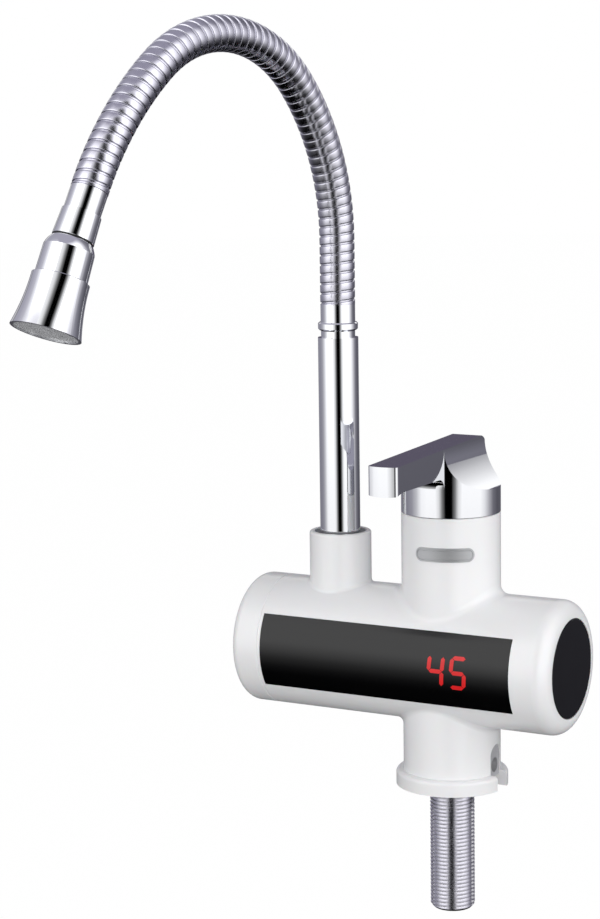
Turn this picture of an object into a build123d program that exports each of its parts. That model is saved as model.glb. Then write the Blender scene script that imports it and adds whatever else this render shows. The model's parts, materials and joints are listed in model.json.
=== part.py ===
from build123d import *
import math
import os

os.makedirs("parts", exist_ok=True)

# Electric instant water heater tap, in millimetres.
# The origin is the centre of the base flange's underside, on the axis of the threaded shank.
# +X runs along the barrel to its dark end disc, -Y is the front and +Z is up.

# Clearances, and how far a cutting solid runs past the face that it cuts
running_gap = 0.08
seat_gap = 0.1
snug_gap = 0.05
loose_gap = 0.3
past = 1.0

# Barrel: a horizontal tube with a rounded right end and a separate cap on its left end
barrel_radius = 31.2
barrel_wall = 2.6
barrel_height = 60.9
barrel_right = 60.5
right_rounding = 7.0
end_wall = 2.6
seam_chamfer = 0.3
cap_seam = -87.5
cap_length = 14.8
cap_rounding = 4.5
cap_wall = 2.4
cap_corner = 2.0
cap_spigot_length = 6.0
cap_spigot_wall = 2.3
barrel_bore = barrel_radius - barrel_wall
cap_bore = barrel_bore - cap_spigot_wall

# Rubber rings: each is squeezed a little by its bore, and has some room along its groove
seal_squeeze = 0.04
ring_slack = 0.3
cap_seal_section = 0.6
cap_seal_radius = barrel_bore - seal_squeeze - cap_seal_section
cap_seal_x = cap_seam + cap_spigot_length / 2

# Necks below and above the barrel, and the base flange. The upper neck's length starts at the barrel's axis.
lower_neck_radius = 22.8
upper_neck_radius = 23.1
upper_neck_length = 68.7
neck_wall = 2.7
flange_radius = 26.3
flange_height = 7.2
flange_rounding = 2.0
lower_junction = 3.0
upper_junction = 4.5
collar_junction = 1.5
lower_neck_bore = lower_neck_radius - neck_wall
upper_neck_bore = upper_neck_radius - neck_wall
neck_top = barrel_height + upper_neck_length

# Display window in the front of the barrel, with the angles counted up from the front
window_margin_left = 1.6
window_margin_right = 17.8
window_high = 33.8
window_low = -33.6
window_thickness = 1.6
window_inset = 0.1
window_ledge = 3.0
window_left = cap_seam + window_margin_left
window_right = barrel_right - window_margin_right

# End disc, with a ring of snap hooks behind it
disc_margin = 8.1
disc_thickness = 1.5
disc_chamfer = 0.4
hook_step = 2.8
hook_wall = 2.0
hook_length = 7.0
hook_count = 6
hook_slot = 4.0
bead_height = 0.7
bead_length = 1.6
disc_radius = barrel_radius - disc_margin
disc_hook_radius = disc_radius - hook_step

# Heating chamber and its lid
chamber_radius = barrel_bore - 7.6
chamber_wall = 2.5
chamber_flange_radius = barrel_bore - 3.6
chamber_flange_thickness = 4.0
port_clearance = 4.0
valve_port_x = -22.0
chamber_left = cap_seam + 3.5
chamber_right = valve_port_x - port_clearance
outlet_boss_radius = 10.5
outlet_boss_height = 4.2
outlet_bore = 8.1
outlet_top = barrel_height + chamber_radius + outlet_boss_height
inlet_spigot = 9.0
inlet_spigot_wall = 1.5
chamber_seal_radius = chamber_radius - 1.1
chamber_seal_section = 0.7
lid_thickness = 3.4
lid_left = chamber_left - seat_gap / 2 - lid_thickness
lid_screw_circle = chamber_flange_radius - 2.0
lid_screw_angles = [30, 150, 210, 330]
lid_screw_core = 1.1
lid_screw_depth = 5.0
lid_screw_grip = 3.5
lid_screw_head_radius = 1.8
lid_screw_head_height = 1.5
lid_screw_length = lid_thickness + lid_screw_grip
support_width = 3.6
support_places = [chamber_left + 7.5, chamber_right - 8.0]
support_gap_width = 12.0
support_gap_start = 15.0

# Spout collar, socket and riser tube. The collar's length counts from the barrel's axis.
spout_x = -58.2
riser_radius = 9.53
riser_wall = 1.93
riser_length = 92.2
riser_taper_start = 6.0
riser_taper_end = 8.0
collar_step = 5.17
collar_length = 55.3
collar_rounding = 1.0
collar_lip = 0.6
shoulder_depth = 12.0
shoulder_gap = 0.2
collar_radius = riser_radius + collar_step
collar_top = barrel_height + collar_length
riser_bore = riser_radius - riser_wall
riser_top = collar_top + riser_length
riser_shoulder = collar_top - shoulder_depth
socket_wall = 2.7
socket_spigot = 5.6
socket_groove_depth = 1.2
socket_groove_low = 3.6
socket_groove_high = 1.6
socket_seal_section = 0.55
socket_radius = collar_radius - socket_wall + loose_gap
socket_bottom = outlet_top + seat_gap
socket_top = collar_top - collar_lip
spigot_step = 1.23
spigot_bore = 5.8
spigot_lift = 4.8
spigot_end_gap = 0.5
spigot_radius = riser_radius - spigot_step
spigot_bottom = socket_bottom + spigot_lift
clip_lift = 2.0
clip_thickness = 2.0
clip_step = 1.07
clip_groove_depth = 0.83
clip_play = 0.1
clip_room = 0.15
clip_opening = 6.0
clip_height = riser_shoulder + clip_lift
clip_radius = riser_radius + clip_step
clip_groove = riser_radius - clip_groove_depth
spout_ring_section = 0.6
spout_ring_shares = [0.27, 0.65]
spout_ring_radius = spigot_radius + running_gap - seal_squeeze - spout_ring_section
spout_ring_heights = [spigot_bottom + share * (riser_shoulder - spigot_bottom) for share in spout_ring_shares]

# Lower ferrule, whose lengths count up from the riser's top, and what it holds
ferrule_length = 15.6
ferrule_neck_length = 3.5
ferrule_ring_end = 7.2
ferrule_ring_rounding = 0.6
ferrule_chamfer = 0.4
ferrule_insert = 9.9
hose_start = riser_top + ferrule_length
ferrule_neck_top = riser_top + ferrule_neck_length
ferrule_ring_top = riser_top + ferrule_ring_end
ferrule_insert_bottom = riser_top - ferrule_insert

# Hose centreline: straight up, three tangent arcs, and a straight end to the ball, in a vertical plane
spout_turn = 13.0
hose_straight = 29.9
hose_arcs = [(110.4, 40.7), (63.6, 87.8), (150.5, 24.7)]
hose_tail = 32.2
hose_straight_top = hose_start + hose_straight

# Ribbed hose, and the plain hose inside it
rib_radius = 8.2
rib_depth = 0.55
rib_pitch = 4.47
groove_width = 0.9
rib_flank = 0.35
ribs_per_segment = [10, 10, 10, 10, 10, 11]
bend_gap = 1.3
groove_radius = rib_radius - rib_depth
hose_bore = groove_radius - 1.7
inner_hose_radius = hose_bore - 0.4
inner_hose_wall = 1.6
inner_hose_room = 0.2
inner_hose_insert = 22.0
inner_hose_bore = inner_hose_radius - inner_hose_wall
inner_hose_start = hose_start - inner_hose_insert
ferrule_neck_radius = rib_radius - 0.15
ferrule_ring_radius = rib_radius + 1.2
ferrule_radius = rib_radius - 0.05

# Hose end collar and ball stud, whose cupped end, washer and neck are centred on the ball
end_collar_radius = rib_radius - 0.15
stud_rise = 19.6
stud_top_radius = rib_radius + 0.4
stud_end_radius = rib_radius + 0.95
stud_edge = 0.3
stud_insert = 8.0
stud_insert_gap = 0.1
stud_bore = 3.0
ball_radius = 7.8
ball_cut = 0.82
ball_neck_radius = 4.8
dome_radius = 11.4
washer_lift = 0.1
washer_thickness = 0.3
washer_step = 0.15
washer_top = dome_radius + washer_lift + washer_thickness
cup_radius = washer_top + 0.05
cup_height = math.sqrt(cup_radius**2 - stud_end_radius**2)

# Nozzle: domed upper body, ball seat, sliding sleeve, spray plate and middle outlet
nozzle_tilt = 23.3
nozzle_mouth = ball_neck_radius + 2.3
nozzle_top_radius = 11.0
nozzle_edge = 0.3
nozzle_step = 18.5
nozzle_step_radius = nozzle_top_radius + 0.3
nozzle_guide_radius = nozzle_step_radius - 0.7
nozzle_guide_length = 14.9
nozzle_guide_end = nozzle_step + nozzle_guide_length
ball_depth = math.sqrt(dome_radius**2 - nozzle_mouth**2)
nozzle_shoulder = ball_depth - math.sqrt(dome_radius**2 - nozzle_top_radius**2)
socket_gap = 0.06
seat_grip = 0.04
seat_bore = 4.2
seat_drop = 2.6
seat_height = 7.0
seat_top = ball_depth + seat_drop
sleeve_length = 23.5
sleeve_gap = 0.2
sleeve_wall = 1.3
sleeve_travel = 4.0
sleeve_flare = 2.0
sleeve_points = 6
sleeve_top_radius = nozzle_step_radius + 1.15
sleeve_mouth_radius = sleeve_top_radius + 2.9
sleeve_start = nozzle_step + sleeve_gap
sleeve_end = sleeve_start + sleeve_length
sleeve_guide_end = nozzle_guide_end - 1.5
sleeve_ledge = 1.2
spray_plate_thickness = 1.6
spray_plate_inset = 0.7
spray_plate_rest = 0.6
spray_rings = [(12.0, 20), (9.6, 16)]
spray_hole_radius = 0.6
plate_depth = spray_plate_inset + spray_plate_thickness + spray_plate_rest
aerator_radius = 7.0
aerator_wall = 1.0
aerator_overlap = 3.0
mesh_pitch = 1.6
mesh_hole = 1.0
mesh_reach = 3

# Handle: its heights count up from the neck's top
handle_gap = 0.3
handle_wall = 2.5
handle_back_rounding = 6.0
handle_back_step = 0.5
cavity_height = 9.4
handle_boss_radius = 8.0
handle_boss_lift = 3.0
handle_rib_width = 8.4
lever_width = 14.4
lever_reach = 70.5
lever_bottom_height = 18.7
lever_tip_height = 30.3
lever_slope = 2.0
lever_bow = 22.0
lever_tip_length = 6.0
lever_tip_rounding = 1.6
lever_root = 5.0
lip_drop = 1.8
lip_length = 9.0
saddle_radius = 19.8
saddle_axis_height = 31.7
grub_lift = 5.0
grub_radius = 2.5
grub_length = 7.5
grub_socket_radius = 1.4
grub_socket_depth = 2.5
plug_depth = 2.0
plug_radius = 3.4
magnet_offset = 17.0
magnet_radius = 2.0
magnet_length = 2.4
magnet_drop = 0.1
cavity_top = neck_top + cavity_height
lever_bottom = neck_top + lever_bottom_height
lever_tip_top = neck_top + lever_tip_height
saddle_height = neck_top + saddle_axis_height
grub_height = neck_top + grub_lift
plug_seat = upper_neck_radius - plug_depth

# Blank name plate on the upper neck, at an angle counted from the right, the front being 270
plate_angle = 287.3
plate_width = 28.2
plate_height = 6.5
plate_drop = 16.7
plate_thickness = 0.5
plate_centre = neck_top - plate_drop

# Threaded shank
shank_radius = 10.4775
shank_seat_radius = 10.2
thread_pitch = 1.814
thread_depth = 1.162
thread_crest = 0.3
thread_start = 0.6
thread_runout = 0.7
shank_bore = 7.0
shank_length = 60.5
shank_insert = 18.0

# Valve body: its head holds the cartridge, and its depths count down from the neck's top
valve_bottom = 5.2
valve_radius = 13.2
valve_head_radius = 17.2
valve_head_depth = 33.6
valve_top_depth = 7.6
valve_ring_start = 4.0
valve_ring_height = 3.0
duct_radius = 4.0
duct_offset = 5.0
port_radius = 5.0
port_depth = 9.0
port_boss_radius = 7.5
port_boss_start = -4.0
seal_thickness = 1.2
valve_head_bottom = neck_top - valve_head_depth
valve_top = neck_top - valve_top_depth
reed_radius = 1.2
reed_angle = 210
reed_lift = 0.1
reed_rise = 3.0
triac_face = 15.0
triac_thickness = 4.5
triac_half_width = 5.0
triac_half_height = 8.0
triac_margin = 1.0
triac_pad_half_width = 6.5
triac_chamfer = 0.4

# Cartridge: discs, stem, body and clamp nut
cartridge_radius = 12.4
cartridge_depth = 28.6
cartridge_neck_depth = 2.1
cartridge_neck_gap = 0.2
cartridge_seat = neck_top - cartridge_depth
cartridge_top = neck_top - cartridge_neck_depth
disc_port_radius = 3.2
seal_port_step = 0.4
fixed_disc_radius = 10.75
fixed_disc_thickness = 3.0
moving_disc_radius = 10.3
moving_disc_thickness = 3.0
moving_disc_room = 0.3
recess_depth = 1.6
recess_width = 3.0
disc_gap = 0.03
fixed_disc_bottom = cartridge_seat + seal_thickness
moving_disc_bottom = fixed_disc_bottom + fixed_disc_thickness + disc_gap
stem_flange_bottom = moving_disc_bottom + moving_disc_thickness + disc_gap
stem_radius = 4.5
stem_rise = 11.4
stem_flange_radius = 9.8
stem_flange_thickness = 2.8
stem_flange_room = 0.2
stem_seal_section = 0.45
stem_seal_depth = 10.6
stem_top = neck_top + stem_rise
stem_seal_radius = stem_radius + running_gap - seal_squeeze - stem_seal_section
stem_seal_height = neck_top - stem_seal_depth
spline_teeth = 16
spline_depth = 0.45
spline_width = 0.6
spline_start = 2.0
tang_place = 7.2
tang_width = 2.6
tang_length = 3.6
tang_depth = 1.0
tang_slot_gap = 0.2
nut_depth = 12.6
nut_radius = 14.5
nut_hex_radius = 16.4
nut_hex_low = 7.4
nut_hex_high = 3.1
nut_bore = 8.0
nut_bottom = neck_top - nut_depth
nut_hex_bottom = neck_top - nut_hex_low
nut_hex_top = neck_top - nut_hex_high

# Base plate and its screws
base_screw_radius = lower_neck_bore - 2.5
base_screw_angles = [85, 205, 325]
base_screw_core = 1.45
base_screw_head_radius = 2.3
base_screw_head_height = 1.6
base_screw_hole_gap = 0.25
base_screw_end_room = 1.0
base_plate_bottom = 2.2
base_plate_top = 5.0
base_plate_slot = 5.0
boss_radius = 2.8
boss_height = 10.0
fixing_root = 0.6

# Heating element, cutout and probe
element_radius = 3.0
element_bend = 8.5
element_end_room = 1.5
element_lid_room = 1.0
terminal_end = chamber_left - 9.0
terminal_pin_radius = 1.3
terminal_pin_length = 3.5
cutout_x = spout_x + 8.2
cutout_radius = 6.6
cutout_height = 4.2
cutout_pad = chamber_radius + 0.7
cutout_pad_half = 7.0
blade_length = 19.0
blade_width = 3.0
blade_low = 3.2
blade_high = 4.0
probe_x = spout_x - 9.8
probe_radius = 2.0
probe_boss_radius = 4.5
probe_inner = 9.5
probe_seat = barrel_bore - 3.4
probe_head_radius = 3.4
probe_head_height = 2.6
probe_head_overlap = 0.5

# Control board, its components and the display module
board_front = 8.0 - barrel_bore
board_thickness = 1.6
board_left = -12.0
board_right = barrel_right - 10.5
board_half_height = 16.5
board_back = board_front + board_thickness
board_screw_inset_x = 4.0
board_screw_inset_z = 2.6
board_hole_radius = 1.4
board_screw_core = 1.0
board_screw_head_radius = 2.2
board_screw_head_height = 1.6
board_screw_end = 0.8
board_screw_depth = 8.0
board_screw_x = [board_left + board_screw_inset_x, board_right - board_screw_inset_x]
board_screw_z = [barrel_height + side * (board_half_height - board_screw_inset_z) for side in (-1, 1)]
shelf_depth = 2.0
shelf_start = 12.5
relay_size = (18.0, 12.0, 10.0)
relay_place = (33.0, -6.0)
capacitor_size = (5.0, 13.0)
capacitor_place = (33.0, 7.0)
chip_size = (9.0, 1.6, 9.0)
chip_place = (-0.5, 0.0)
module_centre = 12.0
module_width = 26.0
module_half_height = 8.6
module_front = 2.1 - barrel_bore
module_chamfer = 0.6
digit_height = 15.4
digit_width = 8.4
digit_slant = 9.0
digit_spacing = 10.8
digit_centres = [module_centre - digit_spacing / 2, module_centre + digit_spacing / 2]
segment_width = 1.9
segment_depth = 0.6
segment_gap = 0.25

# Terminal block
terminal_right = barrel_right - 16.5
terminal_width = 22.0
terminal_left = terminal_right - terminal_width
terminal_back = barrel_bore - 5.6
terminal_depth = 10.0
terminal_front = terminal_back - terminal_depth
terminal_half_height = 8.0
terminal_side_margin = 0.5
terminal_end_margin = 1.0
terminal_ways = 3
wire_hole_radius = 1.8
clamp_hole_radius = 1.7
clamp_hole_lift = 3.5
clamp_hole_depth = 3.0

# Cable inlet in the right of the lower neck
inlet_width = 10.4
inlet_top = 21.0
cable_hole_radius = 3.4
cable_hole_height = 11.0
grommet_flange = 1.4
grommet_inset = 1.4
grommet_overlap = 1.5
grommet_recess = 1.0
grommet_bottom = 5.4
grommet_reach = 40.0

BASE = (Align.CENTER, Align.CENTER, Align.MIN)


def rod(radius, low, high):
    return Pos(0, 0, low) * Cylinder(radius, high - low, align=BASE)


def tube(outer, inner, low, high):
    return rod(outer, low, high) - rod(inner, low, high)


def turned(outline):
    """A piece turned about Z. The outline's corners are (radius, height)."""
    corners = [(radius, 0, height) for radius, height in outline]
    return revolve(make_face(Polyline(*corners, close=True)), Axis.Z)


def o_ring(centre_radius, section_radius, height):
    section = Pos(centre_radius, 0, height) * Rot(90, 0, 0) * Circle(section_radius)
    return revolve(section, Axis.Z)


def ring_groove(outer, centre_radius, section_radius, height):
    """What is cut from a round piece to seat a rubber ring."""
    reach = section_radius + ring_slack
    return tube(outer + past, centre_radius - section_radius, height - reach, height + reach)


def screw(head_radius, head_height, core_radius, length):
    """A screw about Z with the underside of its head at 0 and its core above."""
    return rod(head_radius, -head_height, 0) + rod(core_radius, 0, length)


def along_x(radius, x0, x1, y, z):
    """A rod parallel to the X axis."""
    return Pos(x0, y, z) * Rot(0, 90, 0) * Cylinder(radius, x1 - x0, align=BASE)


def along_y(radius, x, y0, y1, z):
    """A rod parallel to the Y axis."""
    return Pos(x, y0, z) * Rot(-90, 0, 0) * Cylinder(radius, y1 - y0, align=BASE)


def along_barrel(piece):
    """Lays a piece that was made about Z along the barrel's axis."""
    return Pos(0, 0, barrel_height) * Rot(0, 90, 0) * piece


def at_spout(piece):
    return Pos(spout_x, 0, 0) * piece


def block(x0, x1, y0, y1, z0, z1):
    centre = Pos((x0 + x1) / 2, (y0 + y1) / 2, (z0 + z1) / 2)
    return centre * Box(x1 - x0, y1 - y0, z1 - z0)


def barrel_plate(inner, outer, x0, x1, low, high):
    """A curved plate about the barrel's axis, between two angles counted up from the front."""
    section = make_face(Polyline((x0, 0, inner), (x1, 0, inner), (x1, 0, outer), (x0, 0, outer), close=True))
    swept = revolve(Rot(90 - high, 0, 0) * section, Axis.X, revolution_arc=high - low)
    return Pos(0, 0, barrel_height) * swept


def round_pattern(radius, angles):
    return [(radius * math.cos(math.radians(a)), radius * math.sin(math.radians(a))) for a in angles]


def circles(body, axis):
    """The body's circular edges in order along an axis."""
    return body.edges().filter_by(GeomType.CIRCLE).sort_by(axis)


# Housing

def inlet_arch(width, top, x0, x1):
    """An arched slot through the neck's right side, from the deck up to its round top."""
    radius = width / 2
    straight = block(x0, x1, -radius, radius, -past, top - radius)
    return straight + along_x(radius, x0, x1, 0, top - radius)


def junction_edges(body, where):
    curved = [e for e in body.edges() if e.geom_type not in (GeomType.CIRCLE, GeomType.LINE)]
    return [e for e in curved if where(e.center(CenterOf.BOUNDING_BOX))]


def housing_outside():
    barrel = along_barrel(rod(barrel_radius, cap_seam, barrel_right))
    barrel = fillet(circles(barrel, Axis.X)[-1], right_rounding)
    barrel = chamfer(circles(barrel, Axis.X)[0], seam_chamfer)
    lower = rod(lower_neck_radius, 0, barrel_height)
    upper = rod(upper_neck_radius, barrel_height, neck_top)
    upper = chamfer(circles(upper, Axis.Z)[-1], seam_chamfer)
    collar = at_spout(rod(collar_radius, barrel_height, collar_top))
    collar = fillet(circles(collar, Axis.Z)[-1], collar_rounding)
    body = barrel + lower + upper + collar
    body = fillet(junction_edges(body, lambda c: c.Z < barrel_height), lower_junction)
    body = fillet(junction_edges(body, lambda c: c.Z > barrel_height and c.X > spout_x / 2), upper_junction)
    body = fillet(junction_edges(body, lambda c: c.Z > barrel_height and c.X < spout_x / 2), collar_junction)
    flange = rod(flange_radius, 0, flange_height)
    flange = fillet(circles(flange, Axis.Z)[-1], flange_rounding)
    return body + flange


def housing_inside():
    barrel = along_barrel(rod(barrel_bore, cap_seam - past, barrel_right - end_wall))
    barrel = fillet(circles(barrel, Axis.X)[-1], right_rounding - end_wall)
    lower = rod(lower_neck_bore, -past, barrel_height)
    upper = rod(upper_neck_bore, barrel_height, neck_top + past)
    collar = at_spout(rod(socket_radius + seat_gap, barrel_height, collar_top + past))
    return barrel + lower + upper + collar


def housing_fixings():
    """Screw bosses in the lower neck, shelves for the control board and a pad for the terminal block."""
    fixings = []
    for x, y in round_pattern(base_screw_radius, base_screw_angles):
        fixings.append(Pos(x, y, 0) * rod(boss_radius, base_plate_top, base_plate_top + boss_height))
    reach = math.sqrt(barrel_bore**2 - board_back**2) + fixing_root
    for side in (-1, 1):
        z0, z1 = sorted((barrel_height + side * shelf_start, barrel_height + side * reach))
        fixings.append(block(board_left, board_right, board_back, board_back + shelf_depth, z0, z1))
    low, high = barrel_height - terminal_half_height, barrel_height + terminal_half_height
    fixings.append(block(terminal_left, terminal_right, terminal_back, barrel_bore + fixing_root, low, high))
    solid = fixings[0]
    for fixing in fixings[1:]:
        solid = solid + fixing
    return solid


def housing_shell():
    shell = housing_outside() - housing_inside()
    keep = along_barrel(rod(barrel_radius - past, cap_seam + past, barrel_right - past))
    keep = keep + rod(lower_neck_radius - past, 0, barrel_height)
    shell = shell + (housing_fixings() & keep)
    pocket = barrel_plate(
        barrel_radius - window_thickness - window_inset - seat_gap, barrel_radius + past,
        window_left, window_right, window_low, window_high,
    )
    ledge_angle = math.degrees(window_ledge / barrel_radius)
    opening = barrel_plate(
        barrel_bore - past, barrel_radius, window_left + window_ledge, window_right - window_ledge,
        window_low + ledge_angle, window_high - ledge_angle,
    )
    shell = shell - pocket - opening
    pocket_floor = barrel_right - disc_thickness - seat_gap
    disc_pocket = along_barrel(rod(disc_radius + seat_gap, pocket_floor, barrel_right + past))
    disc_hole = along_barrel(rod(disc_hook_radius + seat_gap, barrel_right - end_wall - past, barrel_right))
    shell = shell - disc_pocket - disc_hole
    shell = shell - inlet_arch(inlet_width, inlet_top, valve_radius, flange_radius + past)
    for x, y in round_pattern(base_screw_radius, base_screw_angles):
        hole_top = base_plate_top + boss_height - base_screw_end_room
        shell = shell - Pos(x, y, 0) * rod(base_screw_core + snug_gap, 0, hole_top)
    for x in board_screw_x:
        for z in board_screw_z:
            hole_end = board_front + board_screw_depth
            shell = shell - along_y(board_screw_core + snug_gap, x, board_front - past, hole_end, z)
    return shell


def left_end_cap():
    outline_end = cap_seam - cap_length
    cap = along_barrel(rod(barrel_radius, outline_end, cap_seam))
    cap = fillet(circles(cap, Axis.X)[0], cap_rounding)
    cap = chamfer(circles(cap, Axis.X)[-1], seam_chamfer)
    spigot = along_barrel(rod(barrel_bore - seat_gap, cap_seam, cap_seam + cap_spigot_length))
    groove = along_barrel(ring_groove(barrel_bore, cap_seal_radius, cap_seal_section, cap_seal_x))
    hollow = along_barrel(rod(cap_bore, outline_end + cap_wall, cap_seam + cap_spigot_length + past))
    hollow = fillet(circles(hollow, Axis.X)[0], cap_corner)
    return cap + spigot - groove - hollow


def end_cap_seal():
    return along_barrel(o_ring(cap_seal_radius, cap_seal_section, cap_seal_x))


def end_disc():
    """The dark disc that closes the barrel's right end, with a ring of snap hooks behind it."""
    back = barrel_right - disc_thickness
    plate = rod(disc_radius, back, barrel_right)
    plate = chamfer(circles(plate, Axis.Z)[-1], disc_chamfer)
    ring = tube(disc_hook_radius, disc_hook_radius - hook_wall, back - hook_length, back)
    root = disc_hook_radius - hook_wall / 2
    tip = disc_hook_radius + bead_height
    bead_top = barrel_right - end_wall - seat_gap
    bead = turned([
        (root, bead_top - bead_length), (disc_hook_radius, bead_top - bead_length),
        (tip, bead_top - bead_length / 4), (tip, bead_top), (root, bead_top),
    ])
    disc = plate + ring + bead
    half = hook_slot / 2
    for turn in range(hook_count):
        slot = block(root - hook_wall, tip + past, -half, half, back - hook_length - past, back)
        disc = disc - Rot(0, 0, 360 / hook_count * turn) * slot
    return along_barrel(disc)


def display_window():
    outer = barrel_radius - window_inset
    edge = math.degrees(seat_gap / barrel_radius)
    plate = barrel_plate(
        outer - window_thickness, outer, window_left + seat_gap, window_right - seat_gap,
        window_low + edge, window_high - edge,
    )
    return plate


# Display module and control board

def slanted(x, z):
    """Shifts a point of a digit sideways by its italic slant."""
    return x + z * math.tan(math.radians(digit_slant))


def segment_bar(x, z, length, upright):
    """One bar of a digit: a long hexagon on the module's face, centred on (x, z) of the digit."""
    half, tip = length / 2, segment_width / 2
    shoulder = half - tip
    along = [(-half, 0), (-shoulder, tip), (shoulder, tip), (half, 0), (shoulder, -tip), (-shoulder, -tip)]
    corners = []
    for a, b in along:
        dx, dz = (b, a) if upright else (a, b)
        corners.append((slanted(x + dx, z + dz), 0, z + dz))
    face = make_face(Polyline(*corners, close=True))
    return extrude(face, amount=segment_depth, dir=(0, -1, 0))


def digit_segments():
    """Both digits' seven light bars each, on the front of the module."""
    bars = []
    half_w = (digit_width - segment_width) / 2
    half_h = (digit_height - segment_width) / 2
    across = 2 * half_w - 2 * segment_gap
    upright = half_h - 2 * segment_gap
    for centre in digit_centres:
        places = [(0, half_h, across, False), (0, 0, across, False), (0, -half_h, across, False)]
        for sx in (-1, 1):
            for sz in (-1, 1):
                places.append((sx * half_w, sz * half_h / 2, upright, True))
        for x, z, length, is_upright in places:
            bar = segment_bar(x, z, length, is_upright)
            bars.append(Pos(centre, module_front, barrel_height) * bar)
    return Compound(bars)


def display_module():
    half = module_width / 2
    low = barrel_height - module_half_height
    high = barrel_height + module_half_height
    case = block(module_centre - half, module_centre + half, module_front, board_front, low, high)
    return chamfer(case.edges().filter_by(Axis.Y), module_chamfer)


def control_board():
    low = barrel_height - board_half_height
    high = barrel_height + board_half_height
    board = block(board_left, board_right, board_front, board_back, low, high)
    for x in board_screw_x:
        for z in board_screw_z:
            board = board - along_y(board_hole_radius, x, board_front - past, board_back + past, z)
    return board


def board_screws():
    length = board_thickness + shelf_depth + board_screw_end
    one = screw(board_screw_head_radius, board_screw_head_height, board_screw_core, length)
    places = [(x, z) for x in board_screw_x for z in board_screw_z]
    return Compound([Pos(x, board_front, z) * Rot(-90, 0, 0) * one for x, z in places])


def on_board(size, place):
    """A box on the board's back, given its width, depth and height, and its centre from the barrel's axis."""
    width, depth, height = size
    x, z = place[0], barrel_height + place[1]
    return block(x - width / 2, x + width / 2, board_back, board_back + depth, z - height / 2, z + height / 2)


def board_components():
    """Relay, smoothing capacitor and controller chip on the back of the board."""
    radius, length = capacitor_size
    x, lift = capacitor_place
    capacitor = along_y(radius, x, board_back, board_back + length, barrel_height + lift)
    return Compound([on_board(relay_size, relay_place), capacitor, on_board(chip_size, chip_place)])


def terminal_block():
    left, right = terminal_left + terminal_side_margin, terminal_right - terminal_side_margin
    low, high = barrel_height - terminal_half_height, barrel_height + terminal_half_height
    end = terminal_end_margin
    body = block(left, right, terminal_front, terminal_back, low + end, high - end)
    pitch = (right - left) / terminal_ways
    middle = (terminal_front + terminal_back) / 2
    for k in range(terminal_ways):
        x = left + pitch * (k + 0.5)
        body = body - Pos(x, middle, 0) * rod(wire_hole_radius, low, high)
        clamp_end, clamp_height = terminal_front + clamp_hole_depth, barrel_height + clamp_hole_lift
        body = body - along_y(clamp_hole_radius, x, terminal_front - past, clamp_end, clamp_height)
    return body


# Cable inlet

def cable_grommet():
    """Rubber insert that fills the arch: its flange sits behind the neck's wall."""
    inner_x = lower_neck_bore - grommet_flange - grommet_inset
    flange_width, flange_top = inlet_width + 2 * grommet_overlap, inlet_top + grommet_overlap
    outer_x = lower_neck_radius - grommet_recess
    plug = inlet_arch(inlet_width - 2 * seat_gap, inlet_top - seat_gap, inner_x, outer_x)
    flange = inlet_arch(flange_width, flange_top, inner_x, inner_x + grommet_flange)
    above = block(0, grommet_reach, -inlet_width, inlet_width, grommet_bottom, flange_top + past)
    hole = along_x(cable_hole_radius, 0, grommet_reach, 0, cable_hole_height)
    return ((plug + flange) & above) - hole


# Base plate, shank and valve body

def base_plate():
    low, high = base_plate_bottom - past, base_plate_top + past
    plate = rod(lower_neck_bore - seat_gap, base_plate_bottom, base_plate_top)
    plate = plate - rod(shank_radius + 2 * seat_gap, low, high)
    for x, y in round_pattern(base_screw_radius, base_screw_angles):
        plate = plate - Pos(x, y, 0) * rod(base_screw_core + base_screw_hole_gap, low, high)
    return plate - inlet_arch(inlet_width, inlet_top, shank_radius + base_plate_slot, flange_radius)


def base_screws():
    length = base_plate_top + boss_height - 2 * base_screw_end_room - base_plate_bottom
    one = screw(base_screw_head_radius, base_screw_head_height, base_screw_core, length)
    places = round_pattern(base_screw_radius, base_screw_angles)
    return Compound([Pos(x, y, base_plate_bottom) * one for x, y in places])


def threaded_shank():
    """G1/2 shank: ring-shaped ridges at the real pitch below the deck, and a plain seat in the valve body."""
    root = shank_radius - thread_depth
    turns = int((shank_length - thread_start) / thread_pitch)
    outline = [(shank_bore, shank_insert), (shank_bore, -shank_length), (root, -shank_length)]
    for k in range(turns):
        low = -shank_length + thread_start + k * thread_pitch
        middle = low + thread_pitch / 2
        outline += [
            (root, low), (shank_radius, middle - thread_crest / 2), (shank_radius, middle + thread_crest / 2),
        ]
    top = -shank_length + thread_start + turns * thread_pitch
    outline += [(root, top), (shank_seat_radius, top + thread_runout), (shank_seat_radius, shank_insert)]
    return turned(outline)


def shank_seal():
    inner = shank_bore + loose_gap
    return tube(shank_seat_radius, inner, shank_insert, shank_insert + seal_thickness)


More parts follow.
